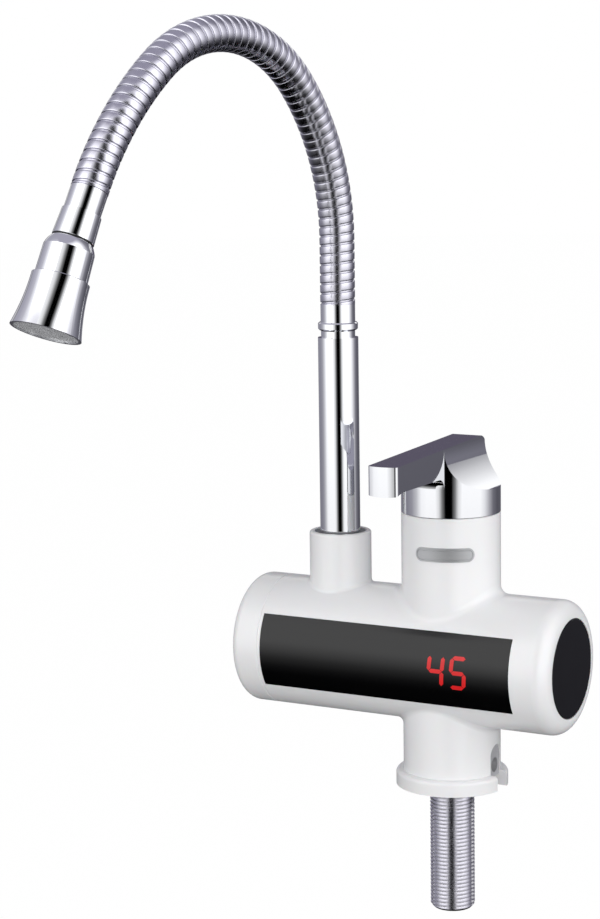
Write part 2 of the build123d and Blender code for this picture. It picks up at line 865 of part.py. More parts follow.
def valve_body():
    """Brass body in the necks: takes the shank below and the cartridge above, with one duct each way."""
    body = rod(valve_radius, valve_bottom, valve_head_bottom)
    body = body + rod(valve_head_radius, valve_head_bottom, valve_top)
    ring_low = valve_head_bottom + valve_ring_start
    body = body + rod(upper_neck_bore - seat_gap, ring_low, ring_low + valve_ring_height)
    body = body + along_x(port_boss_radius, valve_port_x, port_boss_start, -duct_offset, barrel_height)
    pad_half = triac_half_height + triac_margin
    body = body + block(
        0, triac_face, -triac_pad_half_width, triac_pad_half_width,
        barrel_height - pad_half, barrel_height + pad_half,
    )
    body = body - rod(shank_seat_radius + running_gap, 0, shank_insert + seal_thickness)
    inlet = Pos(0, duct_offset, 0) * rod(duct_radius, shank_insert, cartridge_seat + past)
    outlet = Pos(0, -duct_offset, 0) * rod(duct_radius, barrel_height, cartridge_seat + past)
    port = along_x(port_radius, valve_port_x - past, valve_port_x + port_depth, -duct_offset, barrel_height)
    cross = along_x(duct_radius, valve_port_x, 0, -duct_offset, barrel_height)
    body = body - inlet - outlet - port - cross
    body = body - rod(cartridge_radius + seat_gap, cartridge_seat, valve_top + past)
    return body - rod(nut_radius + snug_gap, nut_bottom, valve_top + past)


def power_triac():
    low, high = barrel_height - triac_half_height, barrel_height + triac_half_height
    body = block(triac_face, triac_face + triac_thickness, -triac_half_width, triac_half_width, low, high)
    return chamfer(body.edges().filter_by(Axis.Z), triac_chamfer)


# Cartridge, with its stem and the moving disc

def two_ports(radius, low, high):
    one = rod(radius, low - past, high + past)
    return Pos(0, duct_offset, 0) * one + Pos(0, -duct_offset, 0) * one


def cartridge_seal():
    seal = rod(cartridge_radius, cartridge_seat, fixed_disc_bottom)
    return seal - two_ports(disc_port_radius + seal_port_step, cartridge_seat, fixed_disc_bottom)


def ceramic_disc_fixed():
    top = fixed_disc_bottom + fixed_disc_thickness
    disc = rod(fixed_disc_radius, fixed_disc_bottom, top)
    return disc - two_ports(disc_port_radius, fixed_disc_bottom, top)


def tang_block(side, gap, low, high):
    """One of the two tangs with which the stem turns the disc, or with a gap the slot that it enters."""
    x, half_x, half_y = side * tang_place, tang_width / 2 + gap, tang_length / 2 + gap
    return block(x - half_x, x + half_x, -half_y, half_y, low, high)


def ceramic_disc_moving():
    """Upper disc: a waist-shaped recess in its underside joins or parts the two ports as it turns."""
    bottom = moving_disc_bottom
    top = bottom + moving_disc_thickness
    recess_top = bottom + recess_depth
    disc = rod(moving_disc_radius, bottom, top)
    disc = disc - two_ports(disc_port_radius, bottom, recess_top - past)
    half = recess_width / 2
    disc = disc - block(-half, half, -duct_offset, duct_offset, bottom - past, recess_top)
    for side in (-1, 1):
        disc = disc - tang_block(side, tang_slot_gap, top - tang_depth - tang_slot_gap, top + past)
    return disc


def cartridge_body():
    bottom = fixed_disc_bottom
    disc_top = bottom + fixed_disc_thickness
    shoulder = stem_flange_bottom + stem_flange_thickness + stem_flange_room
    neck = rod(nut_bore - cartridge_neck_gap, nut_bottom, cartridge_top)
    body = rod(cartridge_radius, bottom, nut_bottom) + neck
    body = body - rod(fixed_disc_radius + seat_gap, bottom - past, disc_top)
    body = body - rod(moving_disc_radius + moving_disc_room, disc_top - past, shoulder)
    return body - rod(stem_radius + running_gap, shoulder - past, cartridge_top + past)


def cartridge_stem():
    """Brass stem: a flange with two tangs for the disc, a seal groove and a splined top."""
    bottom = stem_flange_bottom
    stem = rod(stem_flange_radius, bottom, bottom + stem_flange_thickness)
    stem = stem + rod(stem_radius, bottom, stem_top)
    for side in (-1, 1):
        stem = stem + tang_block(side, 0, bottom - tang_depth, bottom + past)
    stem = stem - ring_groove(stem_radius, stem_seal_radius, stem_seal_section, stem_seal_height)
    for k in range(spline_teeth):
        notch = block(
            stem_radius - spline_depth, stem_radius + past, -spline_width / 2, spline_width / 2,
            cartridge_top + spline_start, stem_top + past,
        )
        stem = stem - Rot(0, 0, 360 * k / spline_teeth) * notch
    return stem


def stem_seal():
    return o_ring(stem_seal_radius, stem_seal_section, stem_seal_height)


def cartridge_nut():
    ring = rod(nut_radius, nut_bottom, nut_hex_bottom)
    head = extrude(RegularPolygon(nut_hex_radius, 6), nut_hex_top - nut_hex_bottom)
    return ring + Pos(0, 0, nut_hex_bottom) * head - rod(nut_bore, nut_bottom - past, nut_hex_top + past)


def reed_switch():
    x, y = round_pattern(upper_neck_bore - reed_radius - snug_gap, [reed_angle])[0]
    ring_top = valve_head_bottom + valve_ring_start + valve_ring_height
    return Pos(x, y, 0) * rod(reed_radius, ring_top + reed_lift, valve_top + reed_rise)


# Handle

def side_profile():
    """The handle's side outline in the YZ plane: level underside, sloping roof and a rounded back."""
    rise = math.tan(math.radians(lever_slope))
    bottom = neck_top + handle_gap
    front = -lever_reach - past
    back = upper_neck_radius + handle_back_step
    outline = make_face(Polyline(
        (0, front, bottom), (0, back, bottom), (0, back, lever_tip_top + rise * (lever_reach + back)),
        (0, front, lever_tip_top - rise * past), close=True,
    ))
    corner = outline.vertices().sort_by(lambda v: v.Y + v.Z)[-1]
    outline = fillet(corner, handle_back_rounding + handle_back_step)
    return extrude(outline, amount=2 * upper_neck_radius, dir=(1, 0, 0), both=True)


def lever_side():
    """The lever from the side, in YZ: a level bar, its underside curving down to a lip at the tip."""
    tip, lip_end, low = -lever_reach, -lever_reach + lip_length, lever_bottom - lip_drop
    front, top = tip - past, lever_tip_top + lever_reach
    curve = (lip_length**2 + lip_drop**2) / (2 * lip_drop)
    middle = lever_bottom - curve + math.sqrt(curve**2 - (lip_length / 2) ** 2)
    underside = ThreePointArc((0, tip, low), (0, tip + lip_length / 2, middle), (0, lip_end, lever_bottom))
    rest = Polyline(
        (0, lip_end, lever_bottom), (0, 0, lever_bottom), (0, 0, top), (0, front, top), (0, front, low),
        (0, tip, low),
    )
    return make_face(underside.edges() + rest.edges())


def handle_lever():
    """The straight bar, with a gently bowed and softened tip."""
    half = lever_width / 2
    low, top = lever_bottom - lip_drop - past, lever_tip_top + lever_reach + past
    bow = Pos(0, -lever_reach + lever_bow, 0) * rod(lever_bow, low, top)
    bow = bow + block(-lever_width, lever_width, -lever_reach + lever_tip_length, past, low, top)
    bar = block(-half, half, -lever_reach - past, 0, low, top) & bow
    upright = [e for e in bar.edges().filter_by(Axis.Z) if e.center().Y < -lever_reach + lever_tip_length / 2]
    side = extrude(lever_side(), amount=lever_width, dir=(1, 0, 0), both=True)
    return fillet(upright, lever_tip_rounding) & side


def handle_saddles():
    """The two concave flanks that leave the ridge standing on the round cap."""
    cuts = None
    depth = 2 * upper_neck_radius
    for side in (-1, 1):
        centre = side * (lever_width / 2 + saddle_radius)
        scoop = along_y(saddle_radius, centre, -depth, depth, saddle_height)
        x0, x1 = sorted((side * lever_width / 2, centre + side * saddle_radius))
        scoop = scoop + block(x0, x1, -depth, depth, saddle_height, saddle_height + saddle_radius)
        cuts = scoop if cuts is None else cuts + scoop
    return cuts


def lever_underside(body):
    """The round edge where the lever's underside meets the cap."""
    chosen = []
    for edge in body.edges().filter_by(GeomType.CIRCLE):
        centre = edge.center(CenterOf.BOUNDING_BOX)
        if abs(centre.Z - lever_bottom) < snug_gap and centre.Y > -upper_neck_radius - past:
            chosen.append(edge)
    return chosen


def handle():
    bottom = neck_top + handle_gap
    boss_bottom = cartridge_top + handle_boss_lift
    cap = rod(upper_neck_radius, bottom, saddle_height + saddle_radius / 2) - handle_saddles()
    body = (cap & side_profile()) + (handle_lever() & side_profile())
    body = fillet(lever_underside(body), lever_root)
    hollow = rod(upper_neck_radius - handle_wall, bottom - past, cavity_top)
    hollow = hollow - rod(handle_boss_radius, boss_bottom, cavity_top + past)
    rib_half = handle_rib_width / 2
    hollow = hollow - block(-rib_half, rib_half, 0, upper_neck_radius, boss_bottom, cavity_top + past)
    body = body - hollow - rod(stem_radius + snug_gap, bottom - past, stem_top + shoulder_gap)
    body = body - along_y(grub_radius + snug_gap, 0, 0, upper_neck_radius + past, grub_height)
    body = body - along_y(plug_radius + seat_gap, 0, plug_seat, upper_neck_radius + past, grub_height)
    magnet = rod(magnet_radius + snug_gap, cavity_top - past, cavity_top + magnet_length)
    return body - Pos(0, -magnet_offset, 0) * magnet


def handle_screw():
    start = stem_radius + snug_gap
    grub = along_y(grub_radius, 0, start, start + grub_length, grub_height)
    socket = Rot(-90, 0, 0) * extrude(RegularPolygon(grub_socket_radius, 6), grub_socket_depth + past)
    return grub - Pos(0, start + grub_length - grub_socket_depth, grub_height) * socket


def handle_plug():
    plug = along_y(plug_radius, 0, plug_seat, upper_neck_radius + past, grub_height)
    low, high = grub_height - plug_radius - past, grub_height + plug_radius + past
    return plug & rod(upper_neck_radius - snug_gap, low, high)


def handle_magnet():
    low = cavity_top - magnet_drop
    return Pos(0, -magnet_offset, 0) * rod(magnet_radius, low, low + magnet_length)


# Blank name plate on the upper neck

def nameplate():
    low, high = plate_centre - plate_height, plate_centre + plate_height
    sheet = tube(upper_neck_radius + plate_thickness, upper_neck_radius, low, high)
    pill = extrude(SlotOverall(plate_width, plate_height), 2 * upper_neck_radius)
    return sheet & Pos(0, 0, plate_centre) * Rot(0, 0, plate_angle - 270) * Rot(90, 0, 0) * pill


# Heating chamber, lid and what they hold

def heating_chamber():
    """Moulded vessel that heats the water: flanged at its left end, outlet on top, inlet at the right."""
    vessel = along_barrel(rod(chamber_radius, chamber_left, chamber_right))
    flange = along_barrel(rod(chamber_flange_radius, chamber_left, chamber_left + chamber_flange_thickness))
    outlet = at_spout(rod(outlet_boss_radius, barrel_height, outlet_top))
    pad = block(
        cutout_x - cutout_pad_half, cutout_x + cutout_pad_half, 0, cutout_pad,
        barrel_height - cutout_pad_half, barrel_height + cutout_pad_half,
    )
    probe_boss = along_y(probe_boss_radius, probe_x, 0, probe_seat, barrel_height)
    spigot_end = chamber_right + inlet_spigot
    inlet = along_x(port_radius - seat_gap, chamber_right - past, spigot_end, -duct_offset, barrel_height)
    body = vessel + flange + outlet + pad + probe_boss + inlet
    cavity = rod(chamber_radius - chamber_wall, chamber_left - past, chamber_right - chamber_wall)
    body = body - along_barrel(cavity)
    body = body - at_spout(rod(spigot_bore, barrel_height, outlet_top + past))
    body = body - at_spout(rod(outlet_bore, outlet_top - socket_spigot - shoulder_gap, outlet_top + past))
    inlet_bore = port_radius - seat_gap - inlet_spigot_wall
    inlet_start = chamber_right - chamber_wall - past
    body = body - along_x(inlet_bore, inlet_start, spigot_end + past, -duct_offset, barrel_height)
    body = body - along_y(probe_radius + snug_gap, probe_x, 0, probe_seat + past, barrel_height)
    half_groove = chamber_seal_section + seat_gap
    groove_end = chamber_left + 2 * chamber_seal_section
    body = body - along_barrel(tube(
        chamber_seal_radius + half_groove, chamber_seal_radius - half_groove, chamber_left - past, groove_end,
    ))
    hole_end = chamber_left + lid_screw_depth
    for y, z in round_pattern(lid_screw_circle, lid_screw_angles):
        body = body - along_x(lid_screw_core, chamber_left - past, hole_end, y, barrel_height + z)
    return body


def chamber_seal():
    place = chamber_left + chamber_seal_section
    return along_barrel(o_ring(chamber_seal_radius, chamber_seal_section, place))


def chamber_lid():
    right = lid_left + lid_thickness
    lid = along_barrel(rod(chamber_flange_radius, lid_left, right))
    element_height = barrel_height + element_bend
    for y in (-element_bend, element_bend):
        lid = lid - along_x(element_radius + snug_gap, lid_left - past, right + past, y, element_height)
    hole = lid_screw_core + 2 * seat_gap
    for y, z in round_pattern(lid_screw_circle, lid_screw_angles):
        lid = lid - along_x(hole, lid_left - past, right + past, y, barrel_height + z)
    return lid


def lid_screws():
    one = screw(lid_screw_head_radius, lid_screw_head_height, lid_screw_core - snug_gap, lid_screw_length)
    places = round_pattern(lid_screw_circle, lid_screw_angles)
    return Compound([Pos(lid_left, y, barrel_height + z) * Rot(0, 90, 0) * one for y, z in places])


def heating_element():
    """Sheathed tube in four runs joined by half-circle bends, with both ends through the lid."""
    b = element_bend
    far = chamber_right - chamber_wall - element_end_room - element_radius - b
    near = chamber_left + element_lid_room + element_radius + b
    lift = barrel_height
    path = [
        Line((terminal_end, b, lift + b), (far, b, lift + b)),
        ThreePointArc((far, b, lift + b), (far + b, b, lift), (far, b, lift - b)),
        Line((far, b, lift - b), (near, b, lift - b)),
        ThreePointArc((near, b, lift - b), (near - b, 0, lift - b), (near, -b, lift - b)),
        Line((near, -b, lift - b), (far, -b, lift - b)),
        ThreePointArc((far, -b, lift - b), (far + b, -b, lift), (far, -b, lift + b)),
        Line((far, -b, lift + b), (terminal_end, -b, lift + b)),
    ]
    start = Plane(origin=(terminal_end, b, lift + b), x_dir=(0, 1, 0), z_dir=(1, 0, 0))
    sheath = sweep(start * Circle(element_radius), path=Wire([e for piece in path for e in piece.edges()]))
    pin_end = terminal_end - terminal_pin_length
    for y in (-b, b):
        sheath = sheath + along_x(terminal_pin_radius, pin_end, terminal_end + past, y, lift + b)
    return sheath


def thermal_cutout():
    body = rod(cutout_radius, 0, cutout_height)
    half_length, half_width = blade_length / 2, blade_width / 2
    blades = block(-half_length, half_length, -half_width, half_width, blade_low, blade_high)
    return Pos(cutout_x, cutout_pad, barrel_height) * Rot(-90, 0, 0) * (body + blades)


def temperature_probe():
    stem = along_y(probe_radius, probe_x, probe_inner, probe_seat + probe_head_overlap, barrel_height)
    head = extrude(RegularPolygon(probe_head_radius, 6), probe_head_height)
    return stem + Pos(probe_x, probe_seat, barrel_height) * Rot(-90, 0, 0) * head


def chamber_supports():
    rings = []
    half = support_gap_width / 2
    for x in support_places:
        low, high = x - support_width / 2, x + support_width / 2
        ring = along_barrel(tube(barrel_bore - seat_gap, chamber_radius + snug_gap, low, high))
        gap = block(low - past, high + past, support_gap_start, barrel_radius, -half, half)
        rings.append(ring - Pos(0, 0, barrel_height) * gap)
    return Compound(rings)


# Spout socket, riser tube and their seals

def spout_socket():
    plug = outlet_bore - seat_gap
    groove = outlet_bore - seat_gap - socket_groove_depth
    riser = riser_radius + running_gap
    spigot = spigot_radius + running_gap
    room = clip_radius + seat_gap
    room_low, room_high = clip_height - clip_room, clip_height + clip_thickness + clip_room
    shoulder = riser_shoulder - shoulder_gap
    floor = spigot_bottom - spigot_end_gap
    return at_spout(turned([
        (spigot_bore, socket_bottom - socket_spigot), (plug, socket_bottom - socket_spigot),
        (plug, socket_bottom - socket_groove_low), (groove, socket_bottom - socket_groove_low),
        (groove, socket_bottom - socket_groove_high), (plug, socket_bottom - socket_groove_high),
        (plug, socket_bottom), (socket_radius, socket_bottom), (socket_radius, socket_top),
        (riser, socket_top), (riser, room_high), (room, room_high), (room, room_low), (riser, room_low),
        (riser, shoulder), (spigot, shoulder), (spigot, floor), (spigot_bore, floor),
    ]))


def socket_seal():
    height = socket_bottom - (socket_groove_low + socket_groove_high) / 2
    return at_spout(o_ring(outlet_bore - snug_gap - socket_seal_section, socket_seal_section, height))


def riser_tube():
    groove = spout_ring_radius - spout_ring_section
    reach = spout_ring_section + ring_slack
    outline = [(spigot_bore, spigot_bottom), (spigot_radius, spigot_bottom)]
    for height in spout_ring_heights:
        low, high = height - reach, height + reach
        outline += [(spigot_radius, low), (groove, low), (groove, high), (spigot_radius, high)]
    low, high = clip_height - clip_play, clip_height + clip_thickness + clip_play
    outline += [
        (spigot_radius, riser_shoulder), (riser_radius, riser_shoulder), (riser_radius, low),
        (clip_groove, low), (clip_groove, high), (riser_radius, high), (riser_radius, riser_top),
        (riser_bore, riser_top),
        (riser_bore, riser_shoulder + riser_taper_end), (spigot_bore, riser_shoulder + riser_taper_start),
    ]
    return at_spout(turned(outline))


def riser_seals():
    return Compound([at_spout(o_ring(spout_ring_radius, spout_ring_section, h)) for h in spout_ring_heights])


def riser_clip():
    high = clip_height + clip_thickness
    half = clip_opening / 2
    ring = tube(clip_radius, clip_groove + snug_gap, clip_height, high)
    return at_spout(ring - block(0, collar_radius, -half, half, clip_height - past, high + past))


def lower_ferrule():
    insert = riser_bore - snug_gap
    seat = inner_hose_radius + inner_hose_room
    seat_bottom = inner_hose_start - seat_gap
    rounding = ferrule_ring_rounding
    outline = [
        (inner_hose_bore, ferrule_insert_bottom), (insert, ferrule_insert_bottom), (insert, riser_top),
        (ferrule_neck_radius, riser_top), (ferrule_neck_radius, ferrule_neck_top - ferrule_chamfer),
        (ferrule_ring_radius - rounding, ferrule_neck_top),
        (ferrule_ring_radius, ferrule_neck_top + rounding),
        (ferrule_ring_radius, ferrule_ring_top - rounding),
        (ferrule_ring_radius - rounding, ferrule_ring_top),
        (ferrule_radius, ferrule_ring_top), (ferrule_radius, hose_start), (seat, hose_start),
        (seat, seat_bottom), (inner_hose_bore, seat_bottom),
    ]
    return at_spout(turned(outline))

# Hose centreline

turn = math.radians(spout_turn)
outward = (-math.sin(turn), -math.cos(turn), 0)
hose_side = (math.cos(turn), -math.sin(turn), 0)


def hose_point(reach, height):
    return (spout_x + reach * outward[0], reach * outward[1], height)


def hose_station(distance):
    """The centreline's reach, height and lean from upright at a distance along it from the hose's start."""
    reach, height, lean = 0.0, hose_start, 0.0
    first = hose_straight_top - hose_start
    if distance <= first:
        return reach, hose_start + distance, lean
    height, left = hose_straight_top, distance - first
    for radius, degrees in hose_arcs:
        sweep_angle = math.radians(degrees)
        step = min(left, radius * sweep_angle) / radius
        reach += radius * (math.cos(lean) - math.cos(lean + step))
        height += radius * (math.sin(lean + step) - math.sin(lean))
        lean += step
        left -= radius * step
        if left <= 1e-9:
            return reach, height, lean
    return reach + left * math.sin(lean), height + left * math.cos(lean), lean


def hose_plane(distance):
    """The plane across the hose at a distance, with its X axis always square to the hose's own plane."""
    reach, height, lean = hose_station(distance)
    direction = (outward[0] * math.sin(lean), outward[1] * math.sin(lean), math.cos(lean))
    return Plane(origin=hose_point(reach, height), x_dir=hose_side, z_dir=direction)


def hose_path(start, end):
    """The centreline from one distance to another, as straight runs and tangent arcs."""
    breaks = [hose_straight_top - hose_start]
    for radius, degrees in hose_arcs:
        breaks.append(breaks[-1] + radius * math.radians(degrees))
    stops = [start] + [b for b in breaks if start + 0.01 < b < end - 0.01] + [end]
    edges = []
    for a, b in zip(stops, stops[1:]):
        points = [hose_point(*hose_station(d)[:2]) for d in (a, (a + b) / 2, b)]
        straight = abs(hose_station(a)[2] - hose_station(b)[2]) < 1e-6
        piece = Line(points[0], points[2]) if straight else ThreePointArc(*points)
        edges += piece.edges()
    return Wire(edges)


def hose_tube(radius, start, end):
    return sweep(hose_plane(start) * Circle(radius), path=hose_path(start, end))


ribs_length = sum(ribs_per_segment) * rib_pitch
hose_arc_length = sum(radius * math.radians(degrees) for radius, degrees in hose_arcs)
ball_distance = hose_straight_top - hose_start + hose_arc_length + hose_tail
stud_start = ball_distance - stud_rise
segment_starts = [sum(ribs_per_segment[:k]) * rib_pitch for k in range(len(ribs_per_segment) + 1)]


def hose_segment(index):
    """One run of the ribbed hose with its bore. Bends are shared out over the gaps between runs."""
    start, end = segment_starts[index], segment_starts[index + 1]
    last = index == len(ribs_per_segment) - 1
    inset = (bend_gap - groove_width) / 2
    sections = []
    for k in range(ribs_per_segment[index]):
        low = start + k * rib_pitch
        for offset, radius in [
            (0, groove_radius), (rib_flank, rib_radius),
            (rib_pitch - groove_width - rib_flank, rib_radius), (rib_pitch - groove_width, groove_radius),
        ]:
            sections.append(hose_plane(low + offset) * Circle(radius))
    if index > 0:
        sections[0] = hose_plane(start + inset) * Circle(groove_radius)
        sections[1] = hose_plane(start + inset + rib_flank) * Circle(rib_radius)
    if last:
        sections.append(hose_plane(end) * Circle(groove_radius))
    else:
        sections[-2] = hose_plane(end - groove_width - inset - rib_flank) * Circle(rib_radius)
        sections[-1] = hose_plane(end - groove_width - inset) * Circle(groove_radius)
    return loft(sections, ruled=True) - hose_tube(hose_bore, start - past, end + past)


def inner_hose():
    start = inner_hose_start - hose_start
    end = stud_start - inner_hose_room
    outer = hose_tube(inner_hose_radius, start, end)
    return outer - hose_tube(inner_hose_bore, start, end)


# Nozzle

nozzle_lean = math.radians(180 - nozzle_tilt)


def on_hose(piece, distance):
    """Puts a piece made about Z on the hose's line, its origin at a distance along it."""
    return Location(hose_plane(distance)) * piece


def on_nozzle(piece):
    """Puts a piece made about Z on the nozzle's axis, its origin at the centre of the nozzle's mouth."""
    reach, height, _ = hose_station(ball_distance)
    centre = Vector(*hose_point(reach, height))
    aside = math.sin(nozzle_lean)
    down = Vector(outward[0] * aside, outward[1] * aside, math.cos(nozzle_lean))
    top = centre - down * ball_depth
    return Location(Plane(origin=tuple(top), x_dir=hose_side, z_dir=tuple(down))) * piece


def hose_end_collar():
    length = stud_start - ribs_length
    collar = tube(end_collar_radius, inner_hose_radius + inner_hose_room, 0, length)
    collar = chamfer(collar.edges().group_by(Axis.Z)[0].sort_by(SortBy.RADIUS)[-1], seam_chamfer)
    return on_hose(collar, ribs_length)


def ball_stud():
    """Chrome end fitting: a flaring ferrule with a cupped end, a narrow neck and the nozzle's ball."""
    insert = inner_hose_bore - stud_insert_gap
    skirt = stud_rise - cup_height
    outline = [
        (stud_bore, -stud_insert), (insert, -stud_insert), (insert, 0), (stud_top_radius, 0),
        (stud_end_radius, skirt - stud_edge), (stud_end_radius - stud_edge, skirt), (stud_bore, skirt),
    ]
    ball_end = stud_rise + ball_radius * ball_cut
    ball = (Pos(0, 0, stud_rise) * Sphere(ball_radius)) & rod(ball_radius + past, 0, ball_end)
    neck = rod(ball_neck_radius, 0, stud_rise - ball_neck_radius)
    fitting = turned(outline) - Pos(0, 0, stud_rise) * Sphere(cup_radius) + neck + ball
    return on_hose(fitting - rod(stud_bore, -stud_insert - past, ball_end + past), stud_start)


def swivel_washer():
    """Thin dished ring between the fitting's cup and the nozzle's dome."""
    outer, inner = stud_end_radius - washer_step, ball_neck_radius + running_gap
    ring = tube(outer, inner, -cup_radius, 0) & Sphere(washer_top)
    return on_hose(ring - Sphere(dome_radius + washer_lift), ball_distance)


def nozzle_profile():
    """The nozzle body's half section: a dome about the ball's centre, then the wall down to the guide's end."""
    slant = (math.asin(nozzle_mouth / dome_radius) + math.asin(nozzle_top_radius / dome_radius)) / 2
    dome = ThreePointArc(
        (nozzle_mouth, 0, 0),
        (dome_radius * math.sin(slant), 0, ball_depth - dome_radius * math.cos(slant)),
        (nozzle_top_radius, 0, nozzle_shoulder),
    )
    wall = Polyline(
        (nozzle_top_radius, 0, nozzle_shoulder), (nozzle_step_radius, 0, nozzle_step - nozzle_edge),
        (nozzle_step_radius - nozzle_edge, 0, nozzle_step), (nozzle_guide_radius, 0, nozzle_step),
        (nozzle_guide_radius, 0, nozzle_guide_end), (0, 0, nozzle_guide_end), (0, 0, 0), (nozzle_mouth, 0, 0),
    )
    return make_face(dome.edges() + wall.edges())


def nozzle_body():
    """Upper half of the nozzle: holds the ball from above, then runs down inside the sleeve as its guide."""
    bore = ball_radius + socket_gap
    body = revolve(nozzle_profile(), Axis.Z) - Pos(0, 0, ball_depth) * Sphere(bore)
    body = body - rod(nozzle_mouth, -past, ball_depth)
    return on_nozzle(body - rod(bore, ball_depth, nozzle_guide_end + past))


def ball_seat():
    """Plastic ring that presses the ball up into the nozzle."""
    bore = ball_radius + socket_gap
    seat = tube(bore - seat_grip, seat_bore, seat_top, seat_top + seat_height)
    return on_nozzle(seat - Pos(0, 0, ball_depth) * Sphere(bore))


def sleeve_outline(share):
    """A point of the bell's flare: a gentle curve that opens faster towards the mouth."""
    radius = sleeve_top_radius + (sleeve_mouth_radius - sleeve_top_radius) * share**sleeve_flare
    return radius, 0, sleeve_start + sleeve_length * share


def nozzle_sleeve():
    bell = Spline(*[sleeve_outline(k / sleeve_points) for k in range(sleeve_points + 1)])
    inner = nozzle_guide_radius + running_gap
    mouth = sleeve_mouth_radius - sleeve_wall
    lines = Polyline(
        (sleeve_mouth_radius, 0, sleeve_end), (mouth, 0, sleeve_end), (mouth, 0, sleeve_end - plate_depth),
        (inner + sleeve_ledge, 0, sleeve_guide_end + past), (inner, 0, sleeve_guide_end),
        (inner, 0, sleeve_start), (sleeve_top_radius, 0, sleeve_start),
    )
    return on_nozzle(revolve(make_face(bell.edges() + lines.edges()), Axis.Z))


def spray_plate():
    """Pale face plate: two rings of fine jets round the middle outlet, with a rim that rests in the bell."""
    high = sleeve_end - spray_plate_inset
    low = high - spray_plate_thickness
    plate = rod(sleeve_mouth_radius - sleeve_wall - snug_gap, low, high)
    for ring, count in spray_rings:
        for x, y in round_pattern(ring, [360 * k / count for k in range(count)]):
            plate = plate - Pos(x, y, 0) * rod(spray_hole_radius, low - past, high + past)
    return on_nozzle(plate - rod(aerator_radius + seat_gap, low - past, high + past))


def aerator():
    """Middle outlet with its mesh: a short barrel that holds a grid of square openings."""
    low = nozzle_guide_end + sleeve_travel - aerator_overlap
    high = sleeve_end - spray_plate_inset
    inside = rod(aerator_radius - aerator_wall, low + aerator_wall, high - aerator_wall)
    body = rod(aerator_radius, low, high) - inside
    body = body - rod(aerator_radius - 2 * aerator_wall, low - past, low + 2 * aerator_wall)
    half = mesh_hole / 2
    steps = range(-mesh_reach, mesh_reach + 1)
    for x, y in [(i * mesh_pitch, j * mesh_pitch) for i in steps for j in steps]:
        if math.hypot(abs(x) + half, abs(y) + half) < aerator_radius - aerator_wall:
            body = body - block(x - half, x + half, y - half, y + half, high - 2 * aerator_wall, high + past)
    return on_nozzle(body)


# Every piece, written one to a file

pieces = {
    "housing_shell": housing_shell, "left_end_cap": left_end_cap, "end_cap_seal": end_cap_seal,
    "end_disc": end_disc, "display_window": display_window, "display_module": display_module,
    "digit_segments": digit_segments, "control_board": control_board, "board_screws": board_screws,
    "board_components": board_components, "power_triac": power_triac, "terminal_block": terminal_block,
    "cable_grommet": cable_grommet, "base_plate": base_plate, "base_screws": base_screws,
    "threaded_shank": threaded_shank, "shank_seal": shank_seal, "valve_body": valve_body,
    "cartridge_seal": cartridge_seal, "ceramic_disc_fixed": ceramic_disc_fixed,
    "ceramic_disc_moving": ceramic_disc_moving, "cartridge_body": cartridge_body,
    "cartridge_stem": cartridge_stem, "stem_seal": stem_seal, "cartridge_nut": cartridge_nut,
    "reed_switch": reed_switch, "handle": handle, "handle_screw": handle_screw, "handle_plug": handle_plug,
    "handle_magnet": handle_magnet, "nameplate": nameplate, "heating_chamber": heating_chamber,
    "chamber_seal": chamber_seal, "chamber_lid": chamber_lid, "lid_screws": lid_screws,
    "heating_element": heating_element, "thermal_cutout": thermal_cutout,
    "temperature_probe": temperature_probe, "chamber_supports": chamber_supports,
    "spout_socket": spout_socket, "socket_seal": socket_seal, "riser_tube": riser_tube,
    "riser_seals": riser_seals, "riser_clip": riser_clip, "lower_ferrule": lower_ferrule,
    "inner_hose": inner_hose, "hose_end_collar": hose_end_collar, "ball_stud": ball_stud,
    "swivel_washer": swivel_washer, "nozzle_body": nozzle_body, "ball_seat": ball_seat,
    "nozzle_sleeve": nozzle_sleeve, "spray_plate": spray_plate, "aerator": aerator,
}

for number in range(1, len(ribs_per_segment) + 1):
    pieces[f"hose_segment_{number}"] = lambda number=number: hose_segment(number - 1)


def main():
    for name, make in pieces.items():
        export_step(make(), f"parts/{name}.step")
    print("hose length", round(ball_distance, 1), "ribs", sum(ribs_per_segment))


if __name__ == "__main__":
    main()
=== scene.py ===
# %% [markdown]
# # An electric instant water heater tap
# This lesson dresses a finished construction model. The frame below holds every solid piece at its real
# size and in its real place, and it stays as it is. Blender adds what the eye reads: the finishes, the
# wound steel hose, the cut thread, the lit digits and the studio.
# The frame comes first, because every later piece takes its place and its size from it.

# %% Load the frame
import json
import math
import bpy
from mathutils import Matrix, Vector


